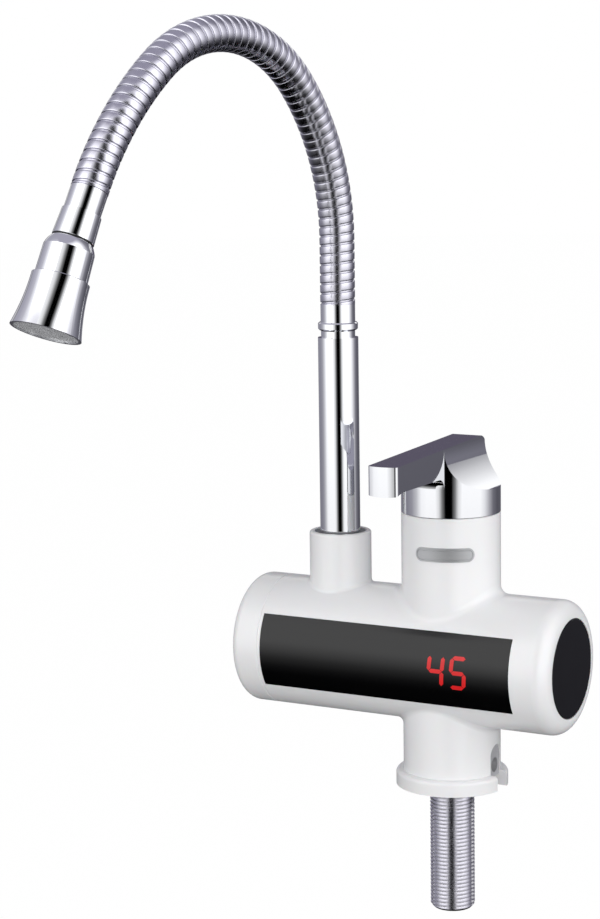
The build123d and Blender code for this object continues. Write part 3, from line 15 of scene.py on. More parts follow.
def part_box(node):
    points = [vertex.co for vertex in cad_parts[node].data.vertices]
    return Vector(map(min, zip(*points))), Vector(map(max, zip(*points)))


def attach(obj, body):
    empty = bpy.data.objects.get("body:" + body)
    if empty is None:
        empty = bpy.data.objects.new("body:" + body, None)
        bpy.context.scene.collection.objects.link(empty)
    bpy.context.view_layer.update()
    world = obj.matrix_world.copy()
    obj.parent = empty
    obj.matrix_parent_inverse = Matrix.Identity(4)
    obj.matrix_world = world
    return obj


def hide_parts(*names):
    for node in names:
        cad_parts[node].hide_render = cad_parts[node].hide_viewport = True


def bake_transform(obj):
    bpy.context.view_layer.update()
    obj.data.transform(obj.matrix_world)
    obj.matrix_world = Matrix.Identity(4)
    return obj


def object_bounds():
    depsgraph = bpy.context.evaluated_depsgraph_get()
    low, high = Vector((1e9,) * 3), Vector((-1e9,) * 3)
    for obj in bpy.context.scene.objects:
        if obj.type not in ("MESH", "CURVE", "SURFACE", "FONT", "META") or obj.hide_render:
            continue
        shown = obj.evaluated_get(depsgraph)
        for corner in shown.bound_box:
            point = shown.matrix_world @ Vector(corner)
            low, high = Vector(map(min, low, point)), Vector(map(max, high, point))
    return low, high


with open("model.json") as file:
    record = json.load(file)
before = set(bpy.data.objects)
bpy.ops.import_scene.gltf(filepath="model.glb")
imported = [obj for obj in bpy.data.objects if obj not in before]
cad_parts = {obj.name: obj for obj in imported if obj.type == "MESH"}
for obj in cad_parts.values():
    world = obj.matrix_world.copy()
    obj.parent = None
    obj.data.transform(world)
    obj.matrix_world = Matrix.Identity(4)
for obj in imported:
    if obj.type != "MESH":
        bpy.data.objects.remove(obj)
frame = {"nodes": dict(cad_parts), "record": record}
cad_low, cad_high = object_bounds()
nodes = frame["nodes"]
MM = 0.001
print("nodes", len(nodes), "size in mm", [round(v / MM, 1) for v in cad_high - cad_low])

# %% [markdown]
# ## The camera
# The photograph is a long-lens product shot from the front right and a little above. Straight edges on
# the real tap, such as the barrel's ends and the thread, gave the angle, the distance and the lens.
# A long lens far away keeps upright tubes parallel, as they are in the photograph.

# %% Camera at the photograph's angle
AZIMUTH = math.radians(29.19)
PITCH = math.radians(8.56)
ROLL = math.radians(-0.84)
CAMERA_DISTANCE = 1114.65 * MM
CAMERA_TARGET = Vector((-79.7, 0.0, 148.78)) * MM
FOCAL_PIXELS = 2328.64
IMAGE_HEIGHT = 919
SENSOR = 36.0

back = Vector((math.sin(AZIMUTH) * math.cos(PITCH), -math.cos(AZIMUTH) * math.cos(PITCH), math.sin(PITCH)))
level_right = Vector((math.cos(AZIMUTH), math.sin(AZIMUTH), 0.0))
level_up = back.cross(level_right)
camera_right = math.cos(ROLL) * level_right + math.sin(ROLL) * level_up
camera_up = back.cross(camera_right)
turned = Matrix((camera_right, camera_up, back)).transposed()

bpy.ops.object.camera_add(location=CAMERA_TARGET + back * CAMERA_DISTANCE, rotation=turned.to_euler())
camera = bpy.context.active_object
camera.name = "camera"
camera.data.sensor_width = SENSOR
camera.data.lens = FOCAL_PIXELS * SENSOR / IMAGE_HEIGHT
camera.data.clip_start = 0.01
camera.data.clip_end = 60.0
bpy.context.scene.camera = camera
print("lens in mm", round(camera.data.lens, 2))

# %% [markdown]
# ## Helpers for modelling
# An operator acts on everything that is selected, and loading the frame leaves its parts selected. So one
# helper clears the selection before a new piece is added, and one applies a modifier as soon as it is set.
# Faces and edges are picked in code by where they are, as a modeller would pick them by eye.

# %% Modelling helpers
MERGE_DISTANCE = 0.001
CUT_THRESHOLD = 0.0001


def clear_selection():
    if bpy.context.object and bpy.context.object.mode != "OBJECT":
        bpy.ops.object.mode_set(mode="OBJECT")
    bpy.ops.object.select_all(action="DESELECT")


def take(piece):
    """Selects one piece alone and makes it the active one."""
    clear_selection()
    piece.select_set(True)
    bpy.context.view_layer.objects.active = piece


def name_piece(name):
    piece = bpy.context.active_object
    piece.name = name
    piece.data.name = name
    return piece


def apply_modifier(piece, kind, **settings):
    take(piece)
    bpy.ops.object.modifier_add(type=kind)
    modifier = piece.modifiers[-1]
    for key, value in settings.items():
        setattr(modifier, key, value)
    bpy.ops.object.modifier_apply(modifier=modifier.name)


def settle(piece):
    """Moves a piece's place, turn and size into its mesh, so that its object sits at the origin."""
    take(piece)
    bpy.ops.object.transform_apply(location=True, rotation=True, scale=True)


def add_rod(name, radius, low, high, vertices, ends="NGON"):
    """A cylinder along Z between two heights, all in millimetres, with its object at the origin."""
    clear_selection()
    bpy.ops.mesh.primitive_cylinder_add(
        vertices=vertices, radius=radius * MM, depth=(high - low) * MM, end_fill_type=ends,
        location=(0, 0, (low + high) / 2 * MM),
    )
    piece = name_piece(name)
    settle(piece)
    return piece


def mirrored_outline(half, pitch):
    """One turn's outline: half of it as radius and height, then the same half upside down."""
    upper = [(radius, pitch - height) for radius, height in reversed(half) if height < pitch / 2]
    return [(radius, 0.0, height) for radius, height in half + upper]


def outline_by_extrusion(name, points):
    """An open line of vertices: one vertex, extruded from point to point. Points are in millimetres."""
    clear_selection()
    bpy.ops.mesh.primitive_plane_add(size=1.0 * MM)
    piece = name_piece(name)
    bpy.ops.object.mode_set(mode="EDIT")
    bpy.ops.mesh.merge(type="CENTER")
    first = Vector(points[0]) * MM
    bpy.ops.transform.translate(value=first)
    for a, b in zip(points, points[1:]):
        step = (Vector(b) - Vector(a)) * MM
        bpy.ops.mesh.extrude_vertices_move(TRANSFORM_OT_translate={"value": step})
    bpy.ops.object.mode_set(mode="OBJECT")
    return piece


def cut_square(piece, height, keep_above):
    """Cuts a piece square to Z and closes the cut with a face."""
    take(piece)
    bpy.ops.object.mode_set(mode="EDIT")
    bpy.ops.mesh.select_all(action="SELECT")
    bpy.ops.mesh.bisect(
        plane_co=(0, 0, height * MM), plane_no=(0, 0, 1), use_fill=True, threshold=CUT_THRESHOLD * MM,
        clear_inner=keep_above, clear_outer=not keep_above,
    )
    bpy.ops.object.mode_set(mode="OBJECT")


def cut_into_strips(piece, across, stops):
    """Cuts a piece into strips at each stop, in millimetres along one direction, so that it can bend."""
    take(piece)
    bpy.ops.object.mode_set(mode="EDIT")
    for stop in stops:
        bpy.ops.mesh.select_all(action="SELECT")
        bpy.ops.mesh.bisect(plane_co=[part * stop * MM for part in across], plane_no=across)
    bpy.ops.object.mode_set(mode="OBJECT")


def face_outwards(piece):
    take(piece)
    bpy.ops.object.mode_set(mode="EDIT")
    bpy.ops.mesh.select_all(action="SELECT")
    bpy.ops.mesh.remove_doubles(threshold=MERGE_DISTANCE * MM)
    bpy.ops.mesh.normals_make_consistent(inside=False)
    bpy.ops.object.mode_set(mode="OBJECT")


def smooth_by_angle(piece, degrees):
    take(piece)
    bpy.ops.object.shade_smooth_by_angle(angle=math.radians(degrees))


# %% [markdown]
# ## The hose's centreline
# The spout is a gooseneck: it leaves the ferrule straight up, bends over in three arcs that run into one
# another, and ends straight. A Bezier curve can follow an arc closely if its handles are as long as the
# arc asks for, so a curve with five points is enough. It isn't shown, and pieces are bent along it.

# %% Centreline as a curve
SPOUT_X = -58.2
SPOUT_TURN = math.radians(13.0)
HOSE_START = 224.0
HOSE_STRAIGHT_TOP = 253.9
HOSE_ARCS = [(110.4, 40.7), (63.6, 87.8), (150.5, 24.7)]
HOSE_TAIL = 60.0
RIB_PITCH = 4.47
RIBS_PER_SEGMENT = [10, 10, 10, 10, 10, 11]
RIB_RADIUS = 8.2
GROOVE_RADIUS = 7.65

hose_out = Vector((-math.sin(SPOUT_TURN), -math.cos(SPOUT_TURN), 0.0))
straight = HOSE_STRAIGHT_TOP - HOSE_START


def in_hose_plane(reach, height):
    return (Vector((SPOUT_X, 0.0, height)) + hose_out * reach) * MM


def leaning(lean):
    return hose_out * math.sin(lean) + Vector((0.0, 0.0, math.cos(lean)))


def hose_point(distance):
    """Reach, height and lean of the centreline at a distance in millimetres from the hose's start."""
    reach, height, lean = 0.0, HOSE_START + min(distance, straight), 0.0
    left = max(distance - straight, 0.0)
    for radius, degrees in HOSE_ARCS:
        step = min(left / radius, math.radians(degrees))
        reach += radius * (math.cos(lean) - math.cos(lean + step))
        height += radius * (math.sin(lean + step) - math.sin(lean))
        lean += step
        left = max(left - radius * step, 0.0)
    return reach + left * math.sin(lean), height + left * math.cos(lean), lean


stretches = [straight] + [radius * math.radians(degrees) for radius, degrees in HOSE_ARCS] + [HOSE_TAIL]
knots = [hose_point(sum(stretches[:k])) for k in range(len(stretches) + 1)]

ARC_HANDLE = 4 / 3
spans = [straight / 3]
spans += [ARC_HANDLE * math.tan(math.radians(degrees) / 4) * radius for radius, degrees in HOSE_ARCS]
spans += [HOSE_TAIL / 3]

clear_selection()
bpy.ops.curve.primitive_bezier_curve_add()
centreline = name_piece("hose_centreline")
line = centreline.data.splines[0]
line.bezier_points.add(len(knots) - 2)
for k, (reach, height, lean) in enumerate(knots):
    point = line.bezier_points[k]
    point.handle_left_type = "FREE"
    point.handle_right_type = "FREE"
    point.co = in_hose_plane(reach, height)
    before = spans[max(k - 1, 0)] * MM
    after = spans[min(k, len(spans) - 1)] * MM
    point.handle_left = point.co - leaning(lean) * before
    point.handle_right = point.co + leaning(lean) * after
centreline.data.dimensions = "3D"
centreline.data.twist_mode = "MINIMUM"
centreline.data.resolution_u = 64
centreline.hide_render = True
print("knots", len(knots), "lean of the hose's end in degrees", round(math.degrees(knots[-1][2]), 1))


def bend_along_hose(piece):
    """A piece made straight up Z, at its distance along the hose, takes the hose's bends."""
    apply_modifier(piece, "CURVE", object=centreline, deform_axis="POS_Z")


def centre_at(distance):
    """The centreline's point at a distance in millimetres from the hose's start."""
    return in_hose_plane(*hose_point(distance)[:2])


# %% [markdown]
# ## The wound steel hose
# The real hose is one strip of stainless steel, wound and folded into itself, so its ribs are one long
# helix. The Screw modifier makes the same shape: it turns one rib's outline about the axis and lifts it
# by one pitch each turn. Solidify gives the strip its thickness.
# The hose bends at five joints. Each joint gets its own length of hose, cut where its neighbours are
# rigid, and each length is bent along the centreline. Screw ends fit into each other like
# nuts, so the lengths meet along the groove without a gap.

# %% Ribbed lengths of hose
TURN_STEPS = 60
STRIP_THICKNESS = 0.7
HOSE_SMOOTHING = 40
rib_outline = mirrored_outline([
    (GROOVE_RADIUS, 0.0), (GROOVE_RADIUS, 0.32), (GROOVE_RADIUS + 0.18, 0.42), (RIB_RADIUS - 0.16, 0.48),
    (RIB_RADIUS - 0.06, 0.6), (RIB_RADIUS - 0.01, 0.95), (RIB_RADIUS, RIB_PITCH / 2),
], RIB_PITCH)
hose_bodies = ["spout", "hose_2", "hose_3", "hose_4", "hose_5", "hose_end"]
rib_total = sum(RIBS_PER_SEGMENT)
middle_ribs = [sum(RIBS_PER_SEGMENT[:k]) + count // 2 for k, count in enumerate(RIBS_PER_SEGMENT)]
LENGTHS = len(hose_bodies) - 1
joints = middle_ribs[1:LENGTHS]
first_ribs = [-1] + joints
last_ribs = joints + [rib_total]
hose_lengths = []

for k in range(LENGTHS):
    first, last = first_ribs[k], last_ribs[k]
    ribs = outline_by_extrusion(f"hose_ribs_{k + 1}", rib_outline)
    apply_modifier(
        ribs, "SCREW", axis="Z", angle=2 * math.pi, screw_offset=RIB_PITCH * MM, iterations=last - first,
        steps=TURN_STEPS, render_steps=TURN_STEPS, use_merge_vertices=True,
        merge_threshold=MERGE_DISTANCE / 2 * MM, use_smooth_shade=True, use_stretch_u=True,
    )
    face_outwards(ribs)
    apply_modifier(ribs, "SOLIDIFY", thickness=STRIP_THICKNESS * MM, offset=-1.0, use_rim=True)
    ribs.location.z = first * RIB_PITCH * MM
    settle(ribs)
    if k == 0:
        cut_square(ribs, 0.0, keep_above=True)
    if k == LENGTHS - 1:
        cut_square(ribs, rib_total * RIB_PITCH, keep_above=False)
    bend_along_hose(ribs)
    smooth_by_angle(ribs, HOSE_SMOOTHING)
    hose_lengths.append(ribs)
    print(ribs.name, "faces", len(ribs.data.polygons))

# %% [markdown]
# ## The inner hose
# Steel strip isn't tight, so a soft hose inside it carries the water. It shows only where the ribs open in
# a bend. It is a plain tube, cut into short rings so that it can follow the curve. Solidify gives its wall.

# %% Inner hose, in lengths that bend with the ribs
INNER_RADIUS = 5.55
INNER_BORE = 3.95
INNER_START = -22.0
INNER_END = 283.0
RING_STEP = 2.2
inner_lengths = []
inner_stops = [INNER_START] + [rib * RIB_PITCH for rib in joints] + [INNER_END]

for k in range(LENGTHS):
    low, high = inner_stops[k], inner_stops[k + 1]
    tube = add_rod(f"inner_hose_{k + 1}", INNER_RADIUS, low, high, vertices=40, ends="NOTHING")
    rings = round((high - low) / RING_STEP)
    cut_into_strips(tube, (0, 0, 1), [low + (high - low) * ring / rings for ring in range(1, rings)])
    apply_modifier(tube, "SOLIDIFY", thickness=(INNER_RADIUS - INNER_BORE) * MM, offset=-1.0)
    bend_along_hose(tube)
    smooth_by_angle(tube, HOSE_SMOOTHING)
    inner_lengths.append(tube)
    print(tube.name, "faces", len(tube.data.polygons))

# %% [markdown]
# ## Settling the lengths
# A length between two bodies has to follow both. Here each length keeps the shape it was bent to: its
# place goes into its mesh, and the frame's hose segments and inner hose are hidden.

# %% Settle each length and hide the frame's hose
for k in range(LENGTHS):
    start = centre_at(middle_ribs[k] * RIB_PITCH)
    end = centre_at(middle_ribs[k + 1] * RIB_PITCH)
    for piece in (hose_lengths[k], inner_lengths[k]):
        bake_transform(piece)
    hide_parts(f"hose_segment_{k + 1}")
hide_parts("hose_segment_6")
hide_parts("inner_hose")
print("lengths that bend", 2 * LENGTHS)

# %% [markdown]
# ## The threaded shank
# The inlet shank is turned from bar and carries a pipe thread, whose flanks lean 27.5 degrees and whose
# crests are slightly flat. It is a helix again, so the Screw modifier makes it at the true pitch.
# The plain seat above it and the bore are joined and cut by Boolean modifiers, as on a lathe.

# %% Shank with a helical thread
SHANK_RADIUS = 10.4775
SHANK_SEAT_RADIUS = 10.2
THREAD_PITCH = 1.814
THREAD_DEPTH = 1.162
THREAD_CREST = 0.3
THREAD_TOP = -0.6
THREAD_STEPS = 64
SHANK_BORE = 7.0
shank_low, shank_high = (corner.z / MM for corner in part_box("threaded_shank"))
root = SHANK_RADIUS - THREAD_DEPTH
crest_start = (THREAD_PITCH - THREAD_CREST) / 2
thread_turns = math.ceil(-shank_low / THREAD_PITCH) + 1

shank = outline_by_extrusion("shank", mirrored_outline([
    (root, 0.0), (root + 0.12, 0.16), (SHANK_RADIUS - 0.08, crest_start - 0.06), (SHANK_RADIUS, crest_start),
], THREAD_PITCH))
apply_modifier(
    shank, "SCREW", axis="Z", angle=2 * math.pi, screw_offset=THREAD_PITCH * MM, iterations=thread_turns,
    steps=THREAD_STEPS, render_steps=THREAD_STEPS, use_merge_vertices=True,
    merge_threshold=MERGE_DISTANCE / 2 * MM, use_smooth_shade=True,
)
shank.location.z = (shank_low - THREAD_PITCH) * MM
settle(shank)
face_outwards(shank)
cut_square(shank, shank_low, keep_above=True)
cut_square(shank, THREAD_TOP, keep_above=False)
face_outwards(shank)
print("thread turns", thread_turns)

# %% [markdown]
# ### Turning the shank's ends
# On the lathe the thread's first turns are cut back to a cone, so that a nut finds its way on. The cone is
# an envelope here: what lies outside it is cut off. Then the bore takes the middle out.

# %% Seat, bore and worn lead-in of the shank
SEAT_START = -2.0
LEAD_IN_HEIGHT = 4.0
LEAD_IN_DEPTH = 0.35
ENVELOPE_RADIUS = 14.0
CUT_SPARE = 4.0
CUT_VERTICES = 96
BORE_VERTICES = 80
lead_in_top = shank_low + LEAD_IN_HEIGHT

seat = add_rod("shank_seat", SHANK_SEAT_RADIUS, SEAT_START, shank_high, CUT_VERTICES)
apply_modifier(shank, "BOOLEAN", operation="UNION", object=seat, solver="EXACT")

clear_selection()
bpy.ops.mesh.primitive_cone_add(
    vertices=CUT_VERTICES, radius1=(root - LEAD_IN_DEPTH) * MM, depth=LEAD_IN_HEIGHT * MM,
    radius2=(root - LEAD_IN_DEPTH + LEAD_IN_HEIGHT) * MM, location=(0, 0, (shank_low + lead_in_top) / 2 * MM),
)
lead_in = name_piece("shank_lead_in")
settle(lead_in)
envelope = add_rod("shank_envelope", ENVELOPE_RADIUS, lead_in_top, shank_high + CUT_SPARE, CUT_VERTICES)
apply_modifier(envelope, "BOOLEAN", operation="UNION", object=lead_in, solver="EXACT")
apply_modifier(shank, "BOOLEAN", operation="INTERSECT", object=envelope, solver="EXACT")

bore = add_rod("shank_bore", SHANK_BORE, shank_low - CUT_SPARE, shank_high + CUT_SPARE, BORE_VERTICES)
apply_modifier(shank, "BOOLEAN", operation="DIFFERENCE", object=bore, solver="EXACT")
for helper in (seat, lead_in, envelope, bore):
    bpy.data.objects.remove(helper)
smooth_by_angle(shank, degrees=35)
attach(shank, "housing")
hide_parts("threaded_shank")
print("shank faces", len(shank.data.polygons))

# %% [markdown]
# ## The lit digits
# Behind the dark window sit two seven-segment digits. Dark acrylic swallows everything but the lit bars,
# which seem to lie in its surface. So each lit bar is a thin shape that follows the window's curve.
# One bar is modelled, and the number 45 is made of copies of it, slanted as on the photograph.

# %% One light bar, copied into the number 45
WINDOW_RADIUS = 31.1
BARREL_HEIGHT = 60.9
DIGIT_HEIGHT = 15.6
DIGIT_WIDTH = 8.6
DIGIT_SLANT = math.tan(math.radians(5.0))
BAR_WIDTH = 1.9
BAR_GAP = 0.15
BAR_DEPTH = 0.12
digit_centres = {"4": 6.4, "5": 17.6}
half_wide = (DIGIT_WIDTH - BAR_WIDTH) / 2
half_high = (DIGIT_HEIGHT - BAR_WIDTH) / 2
strip_reach = math.ceil(DIGIT_HEIGHT / 2)
digit_strips = [BARREL_HEIGHT + strip for strip in range(-strip_reach, strip_reach + 1)]
bar_places = {
    "top": (0, half_high, False), "middle": (0, 0, False), "bottom": (0, -half_high, False),
    "upper_left": (-half_wide, half_high / 2, True), "upper_right": (half_wide, half_high / 2, True),
    "lower_left": (-half_wide, -half_high / 2, True), "lower_right": (half_wide, -half_high / 2, True),
}
lit_bars = {"4": ["upper_left", "middle", "upper_right", "lower_right"],
            "5": ["top", "upper_left", "middle", "lower_right", "bottom"]}


def light_bar(x, z, upright):
    """A flat bar with pointed ends in the XZ plane, cut into strips so that it can follow a curve."""
    length = half_high - 2 * BAR_GAP if upright else 2 * half_wide - 2 * BAR_GAP
    clear_selection()
    bpy.ops.mesh.primitive_circle_add(vertices=6, radius=1.0 * MM, fill_type="NGON")
    bar = name_piece("light_bar")
    half, tip = length / 2, BAR_WIDTH / 2
    corners = [
        (half, 0), (half - tip, tip), (tip - half, tip), (-half, 0), (tip - half, -tip), (half - tip, -tip),
    ]
    for vertex, (a, b) in zip(bar.data.vertices, corners):
        u, w = (b, a) if upright else (a, b)
        height = z + w
        across = x + u + height * DIGIT_SLANT
        vertex.co = Vector((across, -WINDOW_RADIUS, BARREL_HEIGHT + height)) * MM
    cut_into_strips(bar, (0, 0, 1), digit_strips)
    return bar


digit_pieces = []
for digit, names in lit_bars.items():
    bars = [light_bar(digit_centres[digit] + bar_places[n][0], *bar_places[n][1:]) for n in names]
    clear_selection()
    for bar in bars:
        bar.select_set(True)
    bpy.context.view_layer.objects.active = bars[0]
    bpy.ops.object.join()
    number = name_piece(f"lit_digit_{digit}")
    for vertex in number.data.vertices:
        up = vertex.co.z - BARREL_HEIGHT * MM
        vertex.co.y = -math.sqrt((WINDOW_RADIUS * MM) ** 2 - up**2)
    take(number)
    bpy.ops.object.mode_set(mode="EDIT")
    bpy.ops.mesh.select_all(action="SELECT")
    bpy.ops.mesh.normals_make_consistent(inside=False)
    bpy.ops.mesh.extrude_region_shrink_fatten(TRANSFORM_OT_shrink_fatten={"value": BAR_DEPTH * MM})
    bpy.ops.object.mode_set(mode="OBJECT")
    settle(number)
    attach(number, "housing")
    digit_pieces.append(number)
    print(number.name, "faces", len(number.data.polygons))

# %% [markdown]
# ## The name plate
# A small satin plate sits on the upper neck. Here it is bare: a pill with a border and a fine groove
# inside it. It is modelled flat, so that both are even insets, and then bent round the neck.

# %% Bare plate with a border and a groove
NECK_RADIUS = 23.1
PLATE_TURN = math.radians(287.3 - 270.0)
PLATE_WIDTH = 28.2
PLATE_HEIGHT = 6.5
PLATE_CENTRE = 112.9
PLATE_DEPTH = 0.5
BORDER = 0.75
GROOVE = 0.45
GROOVE_DEPTH = 0.25
GROOVE_WALL = 0.1
plate_strips = math.floor(PLATE_WIDTH / 2)

clear_selection()
bpy.ops.mesh.primitive_circle_add(vertices=48, radius=PLATE_HEIGHT / 2 * MM, fill_type="NGON")
plate = name_piece("name_plate")
for vertex in plate.data.vertices:
    side = 1 if vertex.co.x > 0 else -1
    vertex.co.x += side * (PLATE_WIDTH - PLATE_HEIGHT) / 2 * MM
bpy.ops.object.mode_set(mode="EDIT")
bpy.ops.mesh.select_all(action="SELECT")
bpy.ops.mesh.extrude_region_move(TRANSFORM_OT_translate={"value": (0, 0, PLATE_DEPTH * MM)})
bpy.ops.mesh.inset(thickness=BORDER * MM)
bpy.ops.mesh.inset(thickness=GROOVE_WALL * MM, depth=-GROOVE_DEPTH * MM)
bpy.ops.mesh.inset(thickness=GROOVE * MM)
bpy.ops.mesh.inset(thickness=GROOVE_WALL * MM, depth=GROOVE_DEPTH * MM)
bpy.ops.object.mode_set(mode="OBJECT")
cut_into_strips(plate, (1, 0, 0), range(-plate_strips, plate_strips + 1))
face_outwards(plate)
for vertex in plate.data.vertices:
    angle = vertex.co.x / (NECK_RADIUS * MM)
    radius = NECK_RADIUS * MM + vertex.co.z
    turn = angle + PLATE_TURN
    vertex.co = (radius * math.sin(turn), -radius * math.cos(turn), PLATE_CENTRE * MM + vertex.co.y)
face_outwards(plate)
smooth_by_angle(plate, degrees=30)
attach(plate, "housing")
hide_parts("nameplate")
print("plate faces", len(plate.data.polygons))

# %% [markdown]
# ## Finishes
# Every finish starts from what the real surface is and how it was made. Colours are read from hex codes
# as the eye sees them and turned to linear light by one function. One function adds a shader node.
# A pattern's scale comes from a real size in millimetres: per_metre(4) repeats about every 4 mm.

# %% Finish helpers
def colour(code):
    """A hex colour as linear red, green, blue and alpha."""
    values = [int(code[k:k + 2], 16) / 255 for k in (1, 3, 5)]
    linear = [v / 12.92 if v <= 0.04045 else ((v + 0.055) / 1.055) ** 2.4 for v in values]
    return (*linear, 1.0)


def per_metre(size_mm):
    return 1.0 / (size_mm * MM)


def add_node(tree, kind, inputs, **settings):
    """Adds a shader node. inputs gives its sockets a value or another node's output."""
    node = tree.nodes.new("ShaderNode" + kind)
    for key, value in settings.items():
        setattr(node, key, value)
    for socket, value in inputs.items():
        if isinstance(value, bpy.types.NodeSocket):
            tree.links.new(value, node.inputs[socket])
        else:
            node.inputs[socket].default_value = value
    return node


def start_finish(name):
    """An empty material, its node tree, and the place on the piece that its patterns read."""
    material = bpy.data.materials.new(name)
    material.use_nodes = True
    tree = material.node_tree
    tree.nodes.clear()
    place = tree.nodes.new("ShaderNodeTexCoord").outputs["Object"]
    print("finish", name)
    return material, tree, place


def end_finish(tree, inputs):
    """Adds the surface shader with its values and links it to the output."""
    surface = add_node(tree, "BsdfPrincipled", inputs)
    add_node(tree, "OutputMaterial", {"Surface": surface.outputs["BSDF"]})


finishes = {}

# %% [markdown]
# ### Moulded and polished plastics
# The casing is ABS from a polished mould. It is bright white, glossy, and its gloss waves very slightly
# where the plastic shrank as it cooled. The window is smoked acrylic and the end disc is black ABS: both
# are polished, so they show soft reflections on black.

# %% White ABS casing
material, tree, place = start_finish("abs_white_polished_mould")
shrink = add_node(tree, "TexNoise", {"Vector": place, "Scale": per_metre(9), "Detail": 2.0})
cloud = add_node(tree, "TexNoise", {"Vector": place, "Scale": per_metre(45), "Detail": 3.0})
tint = add_node(tree, "Mix", {
    0: cloud.outputs["Fac"], 6: colour("#EFEFF1"), 7: colour("#F4F4F5"),
}, data_type="RGBA")
gloss = add_node(tree, "MapRange", {"Value": shrink.outputs["Fac"], "To Min": 0.2, "To Max": 0.28})
waves = add_node(tree, "Bump", {"Height": shrink.outputs["Fac"], "Strength": 0.25, "Distance": 0.02 * MM})
end_finish(tree, {
    "Base Color": tint.outputs[2], "Roughness": gloss.outputs["Result"], "IOR": 1.53,
    "Subsurface Weight": 0.08, "Subsurface Scale": 1.5 * MM, "Normal": waves.outputs["Normal"],
})
finishes["white_abs"] = material

# %% Black polished ABS of the end disc
material, tree, place = start_finish("abs_black_polished")
haze = add_node(tree, "TexNoise", {"Vector": place, "Scale": per_metre(12), "Detail": 4.0})
gloss = add_node(tree, "MapRange", {"Value": haze.outputs["Fac"], "To Min": 0.1, "To Max": 0.17})
dust = add_node(tree, "Mix", {
    0: haze.outputs["Fac"], 6: colour("#08080A"), 7: colour("#0E0E10"),
}, data_type="RGBA")
end_finish(tree, {"Base Color": dust.outputs[2], "Roughness": gloss.outputs["Result"], "IOR": 1.53})
finishes["black_gloss"] = material

# %% Smoked acrylic window
material, tree, place = start_finish("acrylic_smoked_polished")
haze = add_node(tree, "TexNoise", {"Vector": place, "Scale": per_metre(15), "Detail": 4.0})
gloss = add_node(tree, "MapRange", {"Value": haze.outputs["Fac"], "To Min": 0.14, "To Max": 0.2})
depth = add_node(tree, "Mix", {
    0: haze.outputs["Fac"], 6: colour("#030304"), 7: colour("#060607"),
}, data_type="RGBA")
end_finish(tree, {
    "Base Color": depth.outputs[2], "Roughness": gloss.outputs["Result"], "IOR": 1.49,
    "Specular IOR Level": 0.39,
})
finishes["smoked_acrylic"] = material

# %% Red light bars, lit and unlit
material, tree, place = start_finish("light_bar_lit_red")
grain = add_node(tree, "TexNoise", {"Vector": place, "Scale": per_metre(2.5), "Detail": 2.0})
glow = add_node(tree, "Mix", {
    0: grain.outputs["Fac"], 6: colour("#AC0A0D"), 7: colour("#D2181A"),
}, data_type="RGBA")
end_finish(tree, {
    "Base Color": colour("#5A0508"), "Roughness": 0.35, "Emission Color": glow.outputs[2],
    "Emission Strength": 1.0,
})
lit_red = material

material, tree, place = start_finish("light_bar_unlit")
grain = add_node(tree, "TexNoise", {"Vector": place, "Scale": per_metre(1.2), "Detail": 2.0})
milk = add_node(tree, "Mix", {
    0: grain.outputs["Fac"], 6: colour("#5E2B2C"), 7: colour("#6B3435"),
}, data_type="RGBA")
end_finish(tree, {"Base Color": milk.outputs[2], "Roughness": 0.5})
finishes["led_red"] = material

# %% [markdown]
# ### Plated and polished metals
# Handle, riser and nozzle are brass or zinc castings under bright chrome: nearly a mirror, a touch cool,
# with the faint ripple that polishing leaves. The hose is stainless strip, whose rolled surface is a
# little duller and violet-grey. The shank is nickel over turned brass, with fine tool lines.

# %% Bright chrome plate
material, tree, place = start_finish("chrome_plate_polished")
ripple = add_node(tree, "TexNoise", {"Vector": place, "Scale": per_metre(14), "Detail": 1.5})
breath = add_node(tree, "TexNoise", {"Vector": place, "Scale": per_metre(5), "Detail": 5.0})
gloss = add_node(tree, "MapRange", {"Value": breath.outputs["Fac"], "To Min": 0.03, "To Max": 0.08})
polish = add_node(tree, "Bump", {"Height": ripple.outputs["Fac"], "Strength": 0.12, "Distance": 0.03 * MM})
end_finish(tree, {
    "Base Color": colour("#E4E5E8"), "Metallic": 1.0, "Roughness": gloss.outputs["Result"],
    "Normal": polish.outputs["Normal"],
})
finishes["chrome"] = material

# %% Stainless strip of the hose
material, tree, place = start_finish("stainless_strip_rolled")
rolled = add_node(tree, "TexNoise", {"Vector": place, "Scale": per_metre(3), "Detail": 4.0})
steel = add_node(tree, "Mix", {
    0: rolled.outputs["Fac"], 6: colour("#C2C1CC"), 7: colour("#D2D1DA"),
}, data_type="RGBA")
gloss = add_node(tree, "MapRange", {"Value": rolled.outputs["Fac"], "To Min": 0.18, "To Max": 0.28})
end_finish(tree, {"Base Color": steel.outputs[2], "Metallic": 1.0, "Roughness": gloss.outputs["Result"]})
finishes["hose_steel"] = material

# %% Nickel-plated thread
material, tree, place = start_finish("nickel_plate_on_turned_brass")
lines = add_node(tree, "TexWave", {
    "Vector": place, "Scale": per_metre(0.35), "Distortion": 1.5, "Detail": 2.0,
}, wave_type="BANDS", bands_direction="Z")
stain = add_node(tree, "TexNoise", {"Vector": place, "Scale": per_metre(6), "Detail": 5.0})
nickel = add_node(tree, "Mix", {
    0: stain.outputs["Fac"], 6: colour("#D2D1D8"), 7: colour("#E6E5EA"),
}, data_type="RGBA")
gloss = add_node(tree, "MapRange", {"Value": stain.outputs["Fac"], "To Min": 0.14, "To Max": 0.28})
tool = add_node(tree, "Bump", {"Height": lines.outputs["Fac"], "Strength": 0.15, "Distance": 0.01 * MM})
end_finish(tree, {
    "Base Color": nickel.outputs[2], "Metallic": 1.0, "Roughness": gloss.outputs["Result"],
    "Normal": tool.outputs["Normal"],
})
finishes["shank_steel"] = material

